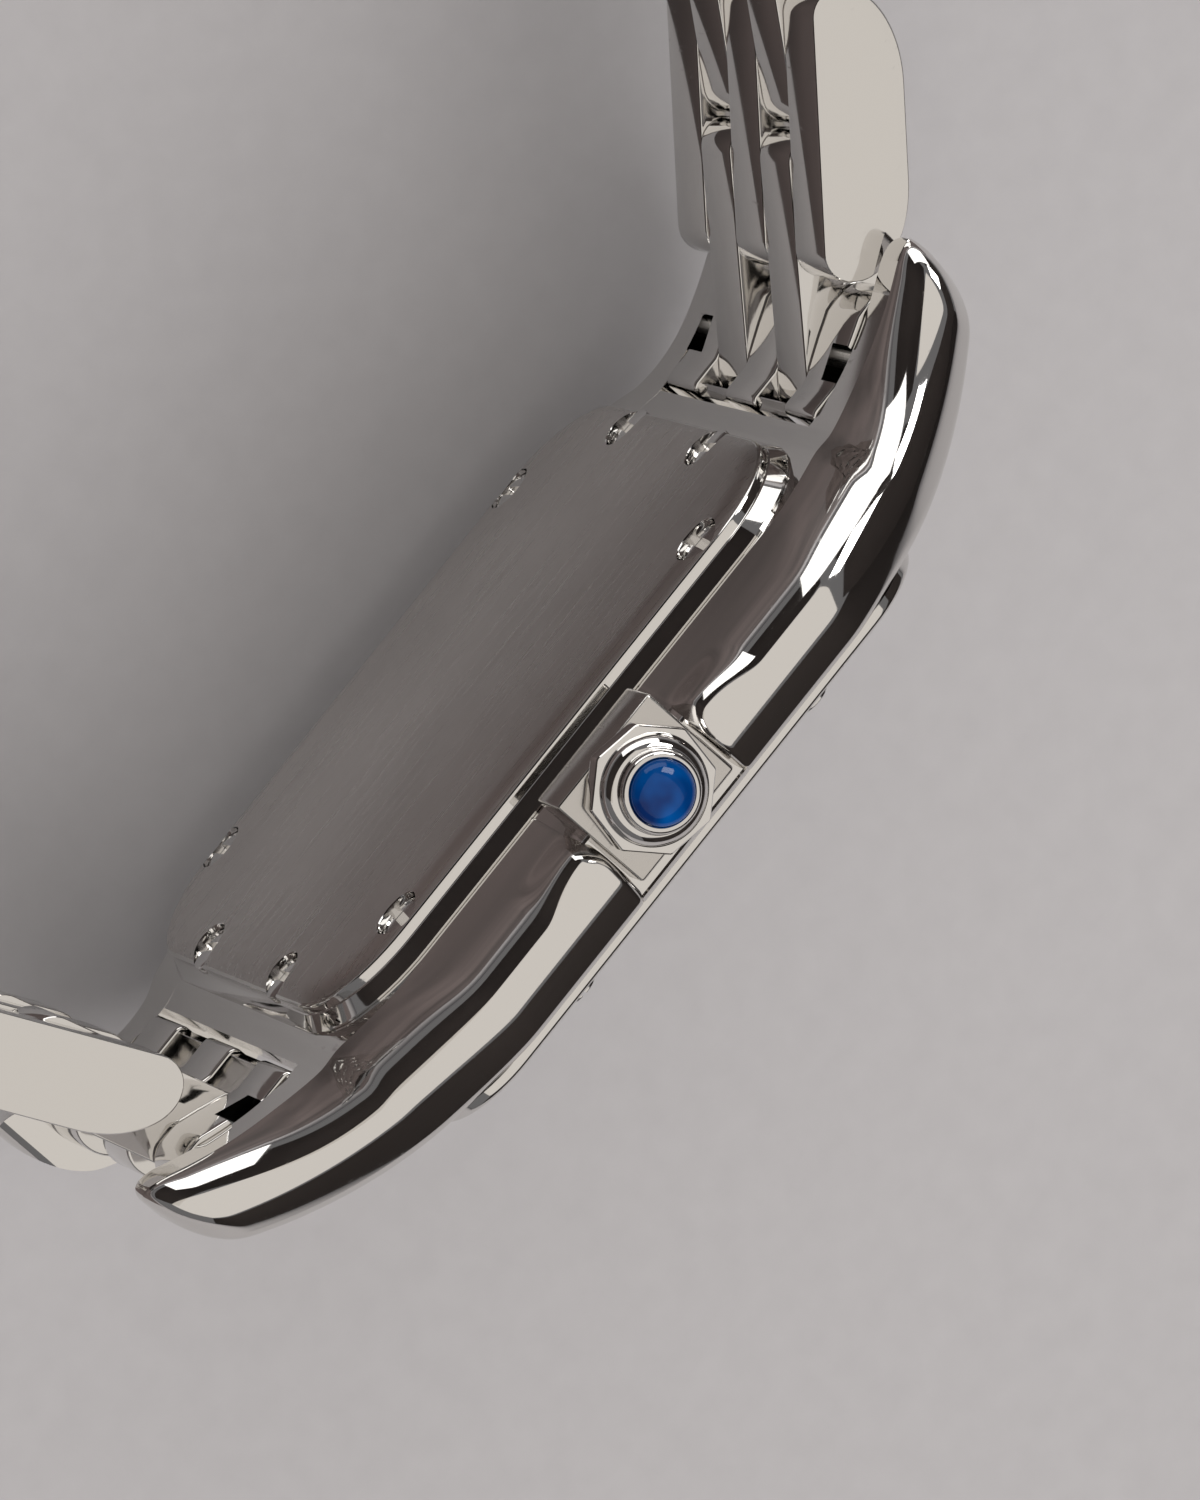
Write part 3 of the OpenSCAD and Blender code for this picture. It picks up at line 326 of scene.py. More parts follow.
CARD_BROWN = grained("card_brown", (0.052, 0.043, 0.040), 0.9, 60, 0.01)
CARD_PLUM = grained("card_plum", (0.125, 0.102, 0.101), 0.9, 22, 0.01, spread=0.55)
MATERIALS = {
    "polished_steel": polished_steel("steel_polished"),
    "link_steel": polished_steel("steel_link_sides", (0.72, 0.705, 0.685), 0.07, 1.6),
    "boss_steel": polished_steel("steel_boss", (0.60, 0.58, 0.555), 0.16, 2.5),
    "brushed_steel": brushed_steel("steel_brushed", (0.62, 0.59, 0.57), (150, 9000, 9000), (0, 0, 0)),
    "screw_steel": polished_steel("steel_screws", (0.7, 0.69, 0.68), 0.12),
    "pin_steel": brushed_steel("steel_pins", (0.5, 0.5, 0.5), (9000, 9000, 300), (0, 0, 0)),
    "blue_cabochon": cabochon_blue(),
    "crystal_glass": crystal_glass(),
    "gasket_rubber": grained("gasket_rubber", (0.03, 0.03, 0.03), 0.6, 4000, 0.01),
    "dial_cream": grained("dial_cream", (0.80, 0.76, 0.66), 0.45, 3000, 0.008, spread=0.03),
    "dial_black": grained("dial_black", (0.012, 0.012, 0.014), 0.4, 3000, 0.004),
    "blued_steel": grained("blued_steel", (0.01, 0.03, 0.20), 0.22, 900, 0.002, 1.0),
    "plate_brass": brushed_steel("brass_plate", (0.62, 0.45, 0.2), (3000, 200, 3000), (0.3, 0, 0.3)),
    "battery_steel": brushed_steel("steel_satin", (0.6, 0.6, 0.6), (200, 4000, 4000), (0, 0, 0)),
    "board_green": grained("board_green", (0.02, 0.16, 0.07), 0.3, 900, 0.01),
    "coil_copper": wound_copper(),
    "holder_plastic": grained("holder_plastic", (0.72, 0.72, 0.7), 0.5, 2500, 0.01),
}


def dress(obj, key):
    """Gives the object one material."""
    obj.data.materials.clear()
    obj.data.materials.append(MATERIALS[key])


# Mesh tools

def new_object(name, verts, faces):
    """Object from points and faces, linked to the scene."""
    mesh = bpy.data.meshes.new(name)
    mesh.from_pydata([tuple(v) for v in verts], [], faces)
    mesh.validate()
    obj = bpy.data.objects.new(name, mesh)
    bpy.context.scene.collection.objects.link(obj)
    return obj


def recalc(obj):
    """All normals outwards."""
    bm = bmesh.new()
    bm.from_mesh(obj.data)
    bmesh.ops.recalc_face_normals(bm, faces=bm.faces)
    bm.to_mesh(obj.data)
    bm.free()
    return obj


def smooth(obj, sharp_deg=32):
    """Smooth shading that breaks at edges sharper than the angle."""
    bm = bmesh.new()
    bm.from_mesh(obj.data)
    limit = math.radians(sharp_deg)
    for face in bm.faces:
        face.smooth = True
    for edge in bm.edges:
        edge.smooth = edge.is_manifold and edge.calc_face_angle(0) < limit
    bm.to_mesh(obj.data)
    bm.free()
    return obj


def apply_modifiers(obj):
    """Bakes the modifiers into the mesh."""
    bpy.context.view_layer.update()
    depsgraph = bpy.context.evaluated_depsgraph_get()
    baked = bpy.data.meshes.new_from_object(obj.evaluated_get(depsgraph))
    old = obj.data
    obj.modifiers.clear()
    obj.data = baked
    bpy.data.meshes.remove(old)


def combine(obj, others, operation):
    """Boolean with each of the other objects, which are used up."""
    for other in others:
        mod = obj.modifiers.new(operation, "BOOLEAN")
        mod.operation = operation
        mod.solver = "EXACT"
        mod.object = other
    apply_modifiers(obj)
    for other in others:
        mesh = other.data
        bpy.data.objects.remove(other)
        bpy.data.meshes.remove(mesh)
    return obj


def join(name, parts):
    """One object from many, each already in place."""
    bm = bmesh.new()
    for part in parts:
        bm.from_mesh(part.data)
        mesh = part.data
        bpy.data.objects.remove(part)
        bpy.data.meshes.remove(mesh)
    mesh = bpy.data.meshes.new(name)
    bm.to_mesh(mesh)
    bm.free()
    obj = bpy.data.objects.new(name, mesh)
    bpy.context.scene.collection.objects.link(obj)
    return obj


def tube_mesh(name, rings):
    """Skin over closed rings of equal length, with flat caps."""
    verts = [p for ring in rings for p in ring]
    n = len(rings[0])
    faces = []
    for i in range(len(rings) - 1):
        for j in range(n):
            k = (j + 1) % n
            faces.append((i * n + j, i * n + k, (i + 1) * n + k, (i + 1) * n + j))
    faces.append(tuple(range(n - 1, -1, -1)))
    faces.append(tuple((len(rings) - 1) * n + j for j in range(n)))
    return recalc(new_object(name, verts, faces))


def box_mesh(name, low, high):
    """Box between two corners."""
    (x0, y0, z0), (x1, y1, z1) = low, high
    ring = lambda z: [(x0, y0, z), (x1, y0, z), (x1, y1, z), (x0, y1, z)]
    return tube_mesh(name, [ring(z0), ring(z1)])


def lathe(name, profile, steps=64, axis="Z", centre=(0, 0, 0)):
    """Turns a profile of (radius, height) round an axis through the centre."""
    rings = []
    for r, h in profile:
        ring = []
        for i in range(steps):
            a = 2 * math.pi * i / steps
            u, v = r * math.cos(a), r * math.sin(a)
            p = (u, v, h) if axis == "Z" else (u, h, v)
            ring.append(tuple(c + q for c, q in zip(centre, p)))
        rings.append(ring)
    return tube_mesh(name, rings)


def rounded_loop(half_x, half_z, corner, per_corner=14, per_side=6):
    """Rounded rectangle in X and Z, anticlockwise, with extra points along its sides."""
    corners = [(half_x - corner, half_z - corner, 0), (corner - half_x, half_z - corner, 90),
               (corner - half_x, corner - half_z, 180), (half_x - corner, corner - half_z, 270)]
    pts = []
    for cx, cz, start in corners:
        for i in range(per_corner + 1):
            a = math.radians(start + 90 * i / per_corner)
            pts.append((cx + corner * math.cos(a), cz + corner * math.sin(a)))
    dense = []
    for i, p in enumerate(pts):
        q = pts[(i + 1) % len(pts)]
        dense.append(p)
        if (i + 1) % (per_corner + 1) == 0:
            dense += [(p[0] + (q[0] - p[0]) * t / per_side, p[1] + (q[1] - p[1]) * t / per_side)
                      for t in range(1, per_side)]
    return dense


def plate(name, half_x, half_z, corner, profile):
    """Rounded rectangular plate from a profile of (inset, y)."""
    rings = []
    for inset, y in profile:
        c = max(corner - inset, 0.05 * MM)
        rings.append([(x, y, z) for x, z in rounded_loop(half_x - inset, half_z - inset, c)])
    return tube_mesh(name, rings)


def arc(cx, cy, rx, ry, start, end, steps):
    """Points of an elliptic arc between two angles in degrees."""
    return [(cx + rx * math.cos(math.radians(start + (end - start) * i / steps)),
             cy + ry * math.sin(math.radians(start + (end - start) * i / steps))) for i in range(steps + 1)]


# Case middle

def front_line(a):
    """Y of the flank's front at distance a from the middle."""
    d = max(0, a - FRONT_FLAT_HALF)
    return FRONT_Y + HORN_FRONT_R - math.sqrt(HORN_FRONT_R ** 2 - d * d)


def ease(t):
    """Soft step from 0 to 1."""
    t = min(1, max(0, t))
    return t * t * (3 - 2 * t)


def widest_line(a):
    """Z of the flank's widest line at distance a."""
    t = max(0, a - FLANK_STRAIGHT_HALF) / (TIP_X - FLANK_STRAIGHT_HALF)
    return FLANK_Z - HORN_TAPER * ease(t ** 0.85)


def strip_line(a):
    """Y of the rear strip at distance a."""
    dip = STRIP_DIP * ease((a - BACK_HIGH.x) / (BODY_HALF - BACK_HIGH.x))
    return RIM_Y - dip + STRIP_RISE * (max(0, a - BODY_HALF) / (TIP_X - BODY_HALF)) ** STRIP_RISE_POWER


def strip_edge(a):
    """Z of the rear strip's outer edge at distance a."""
    share = ease((a - BACK_HIGH.x + BACK_CORNER - MM) / STRIP_CHANGE)
    return STRIP_SIDE_Z + (STRIP_HORN_Z - STRIP_SIDE_Z) * share


def end_scale(a):
    """Scale of the flank section that rounds off the horn's end."""
    d = min(1, max(0, a - (TIP_X - HORN_END)) / HORN_END)
    return max(0.05, (1 - d ** HORN_END_POWER) ** (1 / HORN_END_POWER))


def bezier(p0, p1, p2, p3, steps):
    """Inner points of a cubic curve, without its two ends."""
    out = []
    for i in range(1, steps):
        t = i / steps
        w = ((1 - t) ** 3, 3 * t * (1 - t) ** 2, 3 * t * t * (1 - t), t ** 3)
        out.append(tuple(sum(wk * p[c] for wk, p in zip(w, (p0, p1, p2, p3))) for c in (0, 1)))
    return out


def flank_section(a):
    """Closed outline of the flank in (y, z) at distance a from the middle, from front to rear strip."""
    y_front, y_strip, z_strip, z_wide = front_line(a), strip_line(a), strip_edge(a), widest_line(a)
    y_wide, high = (y_front + y_strip) / 2, y_strip - y_front
    reach = SHOULDER_FULL * (z_wide - z_strip)
    z_front, y_bend = z_wide - FLANK_BULGE - FRONT_ROUND, y_front + FRONT_ROUND
    turns = [math.radians(60 * i / 10) for i in range(11)]
    front = [(y_bend - FRONT_ROUND * math.cos(t), z_front + FRONT_ROUND * math.sin(t)) for t in turns]
    start, middle, end = front[-1], (y_wide, z_wide), (y_strip, z_strip)
    pull = 0.14 * high
    side = bezier(start, (start[0] + pull, start[1] + 0.3 * MM), (y_wide - pull, z_wide), middle, 14)
    shoulder = bezier(middle, (y_wide + 1.5 * pull, z_wide),
                      (y_strip - 0.35 * reach, z_strip + reach), end, 30)
    return [(y_front, HORN_IN_Z)] + front + side + [middle] + shoulder + [end, (y_strip, HORN_IN_Z)]


def shrink(points, s, z_share=0.35, y_share=0.72):
    """Scales a flank section about a point near its rear, given as shares of its width and height."""
    y_low = min(p[0] for p in points)
    y_mid = y_low + (max(p[0] for p in points) - y_low) * y_share
    z_mid = HORN_IN_Z + (max(p[1] for p in points) - HORN_IN_Z) * z_share
    return [(y_mid + (p[0] - y_mid) * s, z_mid + (p[1] - z_mid) * s) for p in points]


def knob_lift(ring, a):
    """Lifts the shoulder into a drop-shaped knob that ends the crown guard and runs out along the flank."""
    along = (a - KNOB_X) / (KNOB_BEFORE if a < KNOB_X else KNOB_AFTER)
    if abs(along) >= 1:
        return ring
    rise = KNOB_RISE * (1 - along * along) ** 2
    last = len(ring) - 3
    half = (last - SHOULDER_START) * KNOB_CENTRE
    out = list(ring)
    for i in range(SHOULDER_START, last):
        across = (i - (SHOULDER_START + half)) / half
        if abs(across) < 1:
            dy, dz = ring[i + 1][0] - ring[i - 1][0], ring[i + 1][1] - ring[i - 1][1]
            lift = rise * (1 - across * across) ** 2 / math.hypot(dy, dz)
            out[i] = (ring[i][0] - dz * lift, ring[i][1] + dy * lift)
    return out


def guard_end(ring, a):
    """Rounds the crown guard where it ends beside the boss."""
    d = max(0, GUARD_X + GUARD_END - a)
    inset = GUARD_END - math.sqrt(max(0, GUARD_END ** 2 - d * d))
    return shrink(ring, 1 - 0.35 * inset / MM, 0.5)


def flank_part(name, stations, side, guard=False):
    """Skin over the flank sections at the stations."""
    rings = []
    for x in stations:
        a = abs(x)
        ring = flank_section(a)
        if guard:
            ring = guard_end(knob_lift(ring, a), a)
        rings.append([(x, y, side * z) for y, z in shrink(ring, end_scale(a))])
    return tube_mesh(name, rings)


def mark_strip_edge(obj):
    """Keeps the outer edge of the rear strip crisp."""
    bm = bmesh.new()
    bm.from_mesh(obj.data)
    for edge in bm.edges:
        mid = (edge.verts[0].co + edge.verts[1].co) / 2
        a = abs(mid.x)
        if a > TIP_X - 0.9 * MM or mid.y < strip_line(a) - 0.05 * MM - 0.3 * max(0, a - (TIP_X - HORN_END)):
            continue
        if abs(abs(mid.z) - strip_edge(a)) < 0.05 * MM + 0.3 * max(0, a - (TIP_X - HORN_END)):
            if edge.is_manifold and edge.calc_face_angle(0) > math.radians(9):
                edge.smooth = False
    bm.to_mesh(obj.data)
    bm.free()


def case_middle():
    """Low flank, two guarded halves of the crown flank and the body between them, with pockets cut in."""
    count = FLANK_STATIONS
    full = [TIP_X * math.sin(math.pi / 2 * i / count) for i in range(-count, count + 1)]
    near = [GUARD_X + GUARD_END * (1 - math.cos(math.pi / 2 * i / 8)) for i in range(8)]
    knob = [GUARD_X + GUARD_END + 0.09 * MM * i for i in range(29)]
    far = [x for x in full if x > knob[-1] + 0.05 * MM]
    upper = near + knob + far
    parts = [
        flank_part("flank_low", full, -1),
        flank_part("guard_six", upper, 1, True),
        flank_part("guard_twelve", [-x for x in upper], 1, True),
    ]
    gap = 0.002 * MM
    steps = [FRONT_FLAT_HALF + (BODY_HALF - FRONT_FLAT_HALF) * i / 12 for i in range(13)]
    rear = [BACK_HIGH.x + (BODY_HALF - BACK_HIGH.x) * i / 8 for i in range(9)]
    half = [(x, front_line(x) + gap) for x in steps] + [(x, strip_line(x) - gap) for x in reversed(rear)]
    outline = half + [(-x, y) for x, y in reversed(half)]
    span = HORN_IN_Z + 0.5 * MM
    body = tube_mesh("body", [[(x, y, z) for x, y in outline] for z in (-span, span)])
    section = [(y, z if y < FRONT_Y + 0.3 * MM else min(z, RECESS_Z)) for y, z in flank_section(0)]
    reach = GUARD_X + 0.2 * MM
    core = tube_mesh("core", [[(x, y + (gap if y < -3 * MM else -gap), z - gap) for y, z in section]
                              for x in (-reach, reach)])
    body = combine(body, parts + [core], "UNION")
    pockets = [
        box_mesh("front_pocket", (-POCKET_HALF, FRONT_Y - MM, -POCKET_HALF),
                 (POCKET_HALF, POCKET_DEEP_Y, POCKET_HALF)),
        box_mesh("rear_pocket", (-REAR_POCKET_X, POCKET_DEEP_Y - 0.1 * MM, -REAR_POCKET_Z),
                 (REAR_POCKET_X, 0, REAR_POCKET_Z)),
    ]
    combine(body, pockets, "DIFFERENCE")
    body.name = "case_steel"
    recalc(body)
    smooth(body, 30)
    mark_strip_edge(body)
    dress(body, "polished_steel")
    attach(body, "case")
    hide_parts("case_middle")
    boss = box_mesh("crown_boss", (-BOSS_HALF_X, BOSS_FRONT_Y, BOSS_Z - 2 * MM),
                    (BOSS_HALF_X, BOSS_REAR_Y, BOSS_Z))
    bevel = boss.modifiers.new("bevel", "BEVEL")
    bevel.width = 0.12 * MM
    bevel.segments = 4
    apply_modifiers(boss)
    smooth(boss, 40)
    dress(boss, "boss_steel")
    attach(boss, "case")


# Crown

def soft_path(points, steps):
    """Smooth curve through the points."""
    out = []
    for i in range(len(points) - 1):
        p = [np.array(points[min(max(i + k, 0), len(points) - 1)], float) for k in (-1, 0, 1, 2)]
        for step in range(steps):
            u = step / steps
            square = (2 * p[0] - 5 * p[1] + 4 * p[2] - p[3]) * u ** 2
            cube = (3 * p[1] - p[0] - 3 * p[2] + p[3]) * u ** 3
            out.append(tuple(0.5 * (2 * p[1] + (p[2] - p[0]) * u + square + cube)))
    return out + [tuple(points[-1])]


def crown():
    """Octagonal crown with a stepped dome and the stone in its collar."""
    radius = (CROWN_HIGH.x - CROWN_LOW.x) / 2
    collar_z = CROWN_HIGH.z
    steps = 160
    corner_at = math.radians(CROWN_CORNER_DEG)

    def ring(r, z, octagon):
        """Octagon or circle of the crown's outline at one height."""
        out = []
        for i in range(steps):
            a = 2 * math.pi * i / steps
            local = (a - corner_at) % (math.pi / 4) - math.pi / 8
            reach = r * math.cos(math.pi / 8) / math.cos(local) if octagon else r
            out.append((reach * math.cos(a), CROWN_Y + reach * math.sin(a), z))
        return out

    low, face = CROWN_LOW.z, collar_z - CROWN_FACE_DROP
    rings = [ring(radius - inset * MM, z, True) for inset, z in (
        (0.42, low), (0.2, low), (0.06, low + 0.03 * MM), (0, low + 0.1 * MM), (0, face - 0.08 * MM),
        (0.015, face - 0.04 * MM), (0.05, face - 0.012 * MM), (0.1, face))]
    dome = [(1.75, 0), (1.715, 0.01), (1.69, 0.05), (1.655, 0.13), (1.6, 0.22), (1.53, 0.3), (1.45, 0.365),
            (1.37, 0.41), (1.315, 0.43), (1.29, 0.46), (1.28, 0.54), (1.275, 0.64), (1.25, 0.73), (1.2, 0.79),
            (1.14, 0.818), (1.09, 0.82), (1.045, 0.8), (1.03, 0.75)]
    rings += [ring(r * MM, face + h * MM, False) for r, h in soft_path(dome, 4)]
    rings.append(ring(STONE_SEAT_R, collar_z - 0.5 * MM, False))
    body = tube_mesh("crown_steel", rings)
    smooth(body, 24)
    dress(body, "polished_steel")
    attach(body, "crown")
    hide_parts("crown")
    low_stone, high_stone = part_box("cabochon")
    r = (high_stone.x - low_stone.x) / 2
    rise = high_stone.z - collar_z
    profile = [(r, low_stone.z), (r, collar_z - STONE_EDGE)]
    for i in range(1, 24):
        a = math.pi / 2 * i / 24
        profile.append((r * math.cos(a), collar_z - STONE_EDGE + (rise + STONE_EDGE) * math.sin(a)))
    profile.append((0.004 * MM, high_stone.z))
    stone = lathe("cabochon_stone", profile, 96, "Z", (0, CROWN_Y, 0))
    smooth(stone, 50)
    dress(stone, "blue_cabochon")
    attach(stone, "crown")
    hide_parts("cabochon")


# Case back with screws

def screw_places():
    """Two screws near each end of every side, in (x, z)."""
    pairs = ((7.23 * MM, 8.95 * MM), (10.35 * MM, 3.76 * MM))
    return [(sx * x, sz * z) for x, z in pairs for sx in (-1, 1) for sz in (-1, 1)]


def slotted_screw(name, x, z, y_top, head_r, head_h, out, slot_w, slot_deg, deep):
    """Domed head that faces along out (+1 or -1) on Y, with a slot that runs along Z before its turn."""
    dome = 0.1 * MM
    y = lambda h: y_top - out * h
    profile = [(0.02 * MM, y(deep)), (head_r * 0.5, y(deep)), (head_r * 0.5, y(head_h)), (head_r, y(head_h))]
    for i in range(9):
        a = math.pi / 2 * i / 9
        profile.append((head_r * math.cos(a), y(dome * (1 - math.sin(a)) ** 1.2)))
    profile.append((0.02 * MM, y(0)))
    head = lathe(name, profile, 48, "Y", (x, 0, z))
    slot = box_mesh("slot", (-slot_w / 2, -0.26 * MM, -head_r * 1.5), (slot_w / 2, 0.26 * MM, head_r * 1.5))
    slot.data.transform(Matrix.Translation((x, y_top, z)) @ Matrix.Rotation(math.radians(slot_deg), 4, "Y"))
    return combine(head, [slot], "DIFFERENCE")


def case_back():
    """Plate with a chamfered lip, a step and a broad soft shoulder, and sinks for its screws."""
    step, top = BACK_STEP, RIM_Y + BACK_LIP
    profile = [(0.02 * MM, RIM_Y), (0, RIM_Y + 0.02 * MM), (0, RIM_Y + 0.07 * MM),
               (0.03 * MM, RIM_Y + 0.12 * MM), (step - 0.06 * MM, top - 0.02 * MM),
               (step - 0.02 * MM, top), (step, top + 0.02 * MM)]
    start, bend, flat_at = (step, -0.36 * MM), (step + BACK_EDGE_W, -BACK_FALL), (step + BACK_SHOULDER, 0)
    profile += [start] + bezier(start, (step, -0.25 * MM), (step + 0.04 * MM, -0.21 * MM), bend, 8)
    profile += bezier(bend, (step + 0.42 * MM, -0.02 * MM), (step + 0.8 * MM, 0), flat_at, 12)
    back = plate("back_plate", BACK_HIGH.x, BACK_HIGH.z, BACK_CORNER, profile)
    sink = [(0.01 * MM, SINK_Y), (SINK_R, SINK_Y), (SINK_R, -0.04 * MM), (SINK_R + 0.015 * MM, -0.015 * MM),
            (SINK_R + 0.06 * MM, 0.05 * MM), (0.01 * MM, 0.05 * MM)]
    cutters = [lathe("sink", sink, 48, "Y", (x, 0, z)) for x, z in screw_places()]
    combine(back, cutters, "DIFFERENCE")
    smooth(back, 28)
    back.data.materials.append(MATERIALS["brushed_steel"])
    back.data.materials.append(MATERIALS["polished_steel"])
    for face in back.data.polygons:
        face.material_index = 0 if face.normal.y > 0.86 and face.center.y > -BACK_FALL else 1
    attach(back, "case")
    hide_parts("case_back")
    screws = [slotted_screw(f"s{i}", x, z, BACK_SCREW_Y, BACK_SCREW_R, 0.38 * MM, 1, BACK_SLOT_W,
                            BACK_SLOT_TURNS[i], 2 * MM) for i, (x, z) in enumerate(screw_places())]
    screws = smooth(join("back_screw_heads", screws), 30)
    dress(screws, "screw_steel")
    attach(screws, "case")
    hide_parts("case_back_screws")


# Bezel, crystal and dial

def bezel():
    """Square ring with a rounded front edge, and its screws."""
    half_x, half_z = BEZEL_HIGH.x, BEZEL_HIGH.z
    y0, y1 = BEZEL_HIGH.y, BEZEL_LOW.y
    r = 0.2 * MM
    profile = [(0, y0)] + [(r - r * math.cos(math.pi / 2 * i / 6), y1 + r - r * math.sin(math.pi / 2 * i / 6))
                           for i in range(7)]
    ring = plate("bezel_steel", half_x, half_z, 2.8 * MM, profile)
    inner = CRYSTAL_HIGH.x + 0.05 * MM
    hole = plate("window", inner + 0.15 * MM, inner + 0.15 * MM, 1.4 * MM,
                 [(0.15 * MM, y0 + MM), (0.15 * MM, y1 + 0.15 * MM), (0.0, y1 - 0.01 * MM), (0.0, y1 - MM)])
    combine(ring, [hole], "DIFFERENCE")
    smooth(ring, 28)
    dress(ring, "polished_steel")
    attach(ring, "case")
    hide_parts("bezel")
    inset, out = 0.85 * MM, 5.6 * MM
    places = [(sx * x, sz * z) for x, z in ((out, half_z - inset), (half_x - inset, out))
              for sx in (-1, 1) for sz in (-1, 1)]
    screws = [slotted_screw(f"b{i}", x, z, y1 - BEZEL_SCREW_H, BEZEL_SCREW_R, BEZEL_SCREW_H, -1, BEZEL_SLOT_W,
                            BEZEL_SLOT_TURNS[i], 1.2 * MM) for i, (x, z) in enumerate(places)]
    screws = smooth(join("bezel_screw_heads", screws), 30)
    dress(screws, "screw_steel")
    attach(screws, "case")
    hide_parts("bezel_screws")


def crystal():
    """Flat glass with a bevelled front edge."""
    y_in, y_out, bevel = CRYSTAL_HIGH.y, CRYSTAL_LOW.y, 0.15 * MM
    profile = [(0.01 * MM, y_in), (0, y_in - 0.02 * MM), (0, y_out + bevel), (bevel, y_out)]
    glass = plate("crystal_plate", CRYSTAL_HIGH.x, CRYSTAL_HIGH.z, 1.2 * MM, profile)
    smooth(glass, 25)
    dress(glass, "crystal_glass")
    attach(glass, "case")
    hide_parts("crystal")


def dial_marks():
    """Roman numerals, a railway track and a centre square, as thin raised prints on the dial."""
    y_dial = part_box("dial")[0].y
    thick = 0.02 * MM
    bars = []

    def bar(p, q, width):
        """Flat stroke between two points of the dial, in (right, up) seen from the front."""
        (x0, z0), (x1, z1) = p, q
        length = math.dist(p, q)
        nx, nz = -(z1 - z0) / length * width / 2, (x1 - x0) / length * width / 2
        quad = [(x0 + nx, z0 + nz), (x1 + nx, z1 + nz), (x1 - nx, z1 - nz), (x0 - nx, z0 - nz)]
        # Seen from the front, 12 o'clock is up (-X) and 3 o'clock is right (+Z)
        ring = lambda y: [(-v, y, u) for u, v in quad]
        bars.append(tube_mesh("bar", [ring(y_dial + 0.004 * MM), ring(y_dial - thick)]))

    half, outer_half = 4.3 * MM, 4.3 * MM + 0.42 * MM
    for s in (half, outer_half):
        for (a, b) in (((-s, s), (s, s)), ((s, s), (s, -s)), ((s, -s), (-s, -s)), ((-s, -s), (-s, s))):
            bar(a, b, 0.07 * MM)
    for i in range(60):
        a = math.radians(6 * i)
        d = (math.sin(a), math.cos(a))
        reach = half / max(abs(d[0]), abs(d[1]))
        outer = outer_half / max(abs(d[0]), abs(d[1]))
        bar((d[0] * reach, d[1] * reach), (d[0] * outer, d[1] * outer), (0.16 if i % 5 == 0 else 0.06) * MM)

    strokes = {"I": [((0, 0), (0, 1), 1)], "V": [((-0.32, 1), (0, 0), 1), ((0.32, 1), (0, 0), 0.45)],
               "X": [((-0.34, 1), (0.34, 0), 1), ((0.34, 1), (-0.34, 0), 0.45)]}
    widths = {"I": 0.34, "V": 0.74, "X": 0.78}
    numerals = ("XII", "I", "II", "III", "IIII", "V", "VI", "VII", "VIII", "IX", "X", "XI")
    for hour, text in enumerate(numerals):
        a = math.radians(30 * hour)
        d = Vector((math.sin(a), math.cos(a)))
        side = Vector((d.y, -d.x))
        scale = 1 / max(abs(d.x), abs(d.y))
        base, height = 5.05 * MM * scale, 2.25 * MM * (0.55 + 0.45 * scale)
        glyph = 0.78 * MM
        total = sum(widths[c] for c in text) * glyph
        at = -total / 2
        for c in text:
            mid = at + widths[c] * glyph / 2
            for p, q, weight in strokes[c]:
                place = lambda t: tuple(d * (base + t[1] * height) + side * (mid + t[0] * glyph))
                bar(place(p), place(q), 0.2 * MM * weight)
            for end in (0, 1):
                foot, half_w = d * (base + end * height), widths[c] * 0.52 * glyph
                bar(tuple(foot + side * (mid - half_w)), tuple(foot + side * (mid + half_w)), 0.06 * MM)
            at += widths[c] * glyph
    marks = join("dial_print", bars)
    dress(marks, "dial_black")
    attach(marks, "case")


def hands():
    """Sword-shaped hands with a ridge along the middle, in blued steel."""
    for node, body, length, width, clock_deg in (("hour_hand", "hour", 5.0 * MM, 0.75 * MM, 304),
                                                 ("minute_hand", "minute", 7.2 * MM, 0.6 * MM, 48)):
        low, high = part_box(node)
        a = math.radians(clock_deg)
        d, s = Vector((-math.cos(a), math.sin(a))), Vector((math.sin(a), math.cos(a)))
        outline = [(-0.9 * MM, 0.3 * width), (0.9 * MM, 0.16 * width), (length * 0.62, 0.5 * width),
                   (length, 0.03 * MM)]
        y_edge, y_back = low.y + 0.04 * MM, high.y
        verts, faces = [], []
        for u, w in outline:
            for across, y in ((w, y_edge), (0, low.y), (-w, y_edge), (-w, y_back), (w, y_back)):
                p = d * u + s * across
                verts.append((p.x, y, p.y))
        for i in range(len(outline) - 1):
            for j in range(5):
                k = (j + 1) % 5
                faces.append((i * 5 + j, i * 5 + k, i * 5 + 5 + k, i * 5 + 5 + j))
        faces += [(0, 1, 2, 3, 4), tuple(range(len(verts) - 5, len(verts)))]
        blade = recalc(new_object(f"{node}_blade", verts, faces))
        hub_r = (0.8 if node == "hour_hand" else 0.55) * MM
        hub = lathe("hub", [(0.02 * MM, y_back), (hub_r, y_back), (hub_r, low.y + 0.02 * MM),
                            (hub_r - 0.05 * MM, low.y), (0.02 * MM, low.y)], 48, "Y")
        obj = combine(blade, [hub], "UNION")
        smooth(obj, 20)
        dress(obj, "blued_steel")
        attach(obj, body)
        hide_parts(node)


# Bracelet

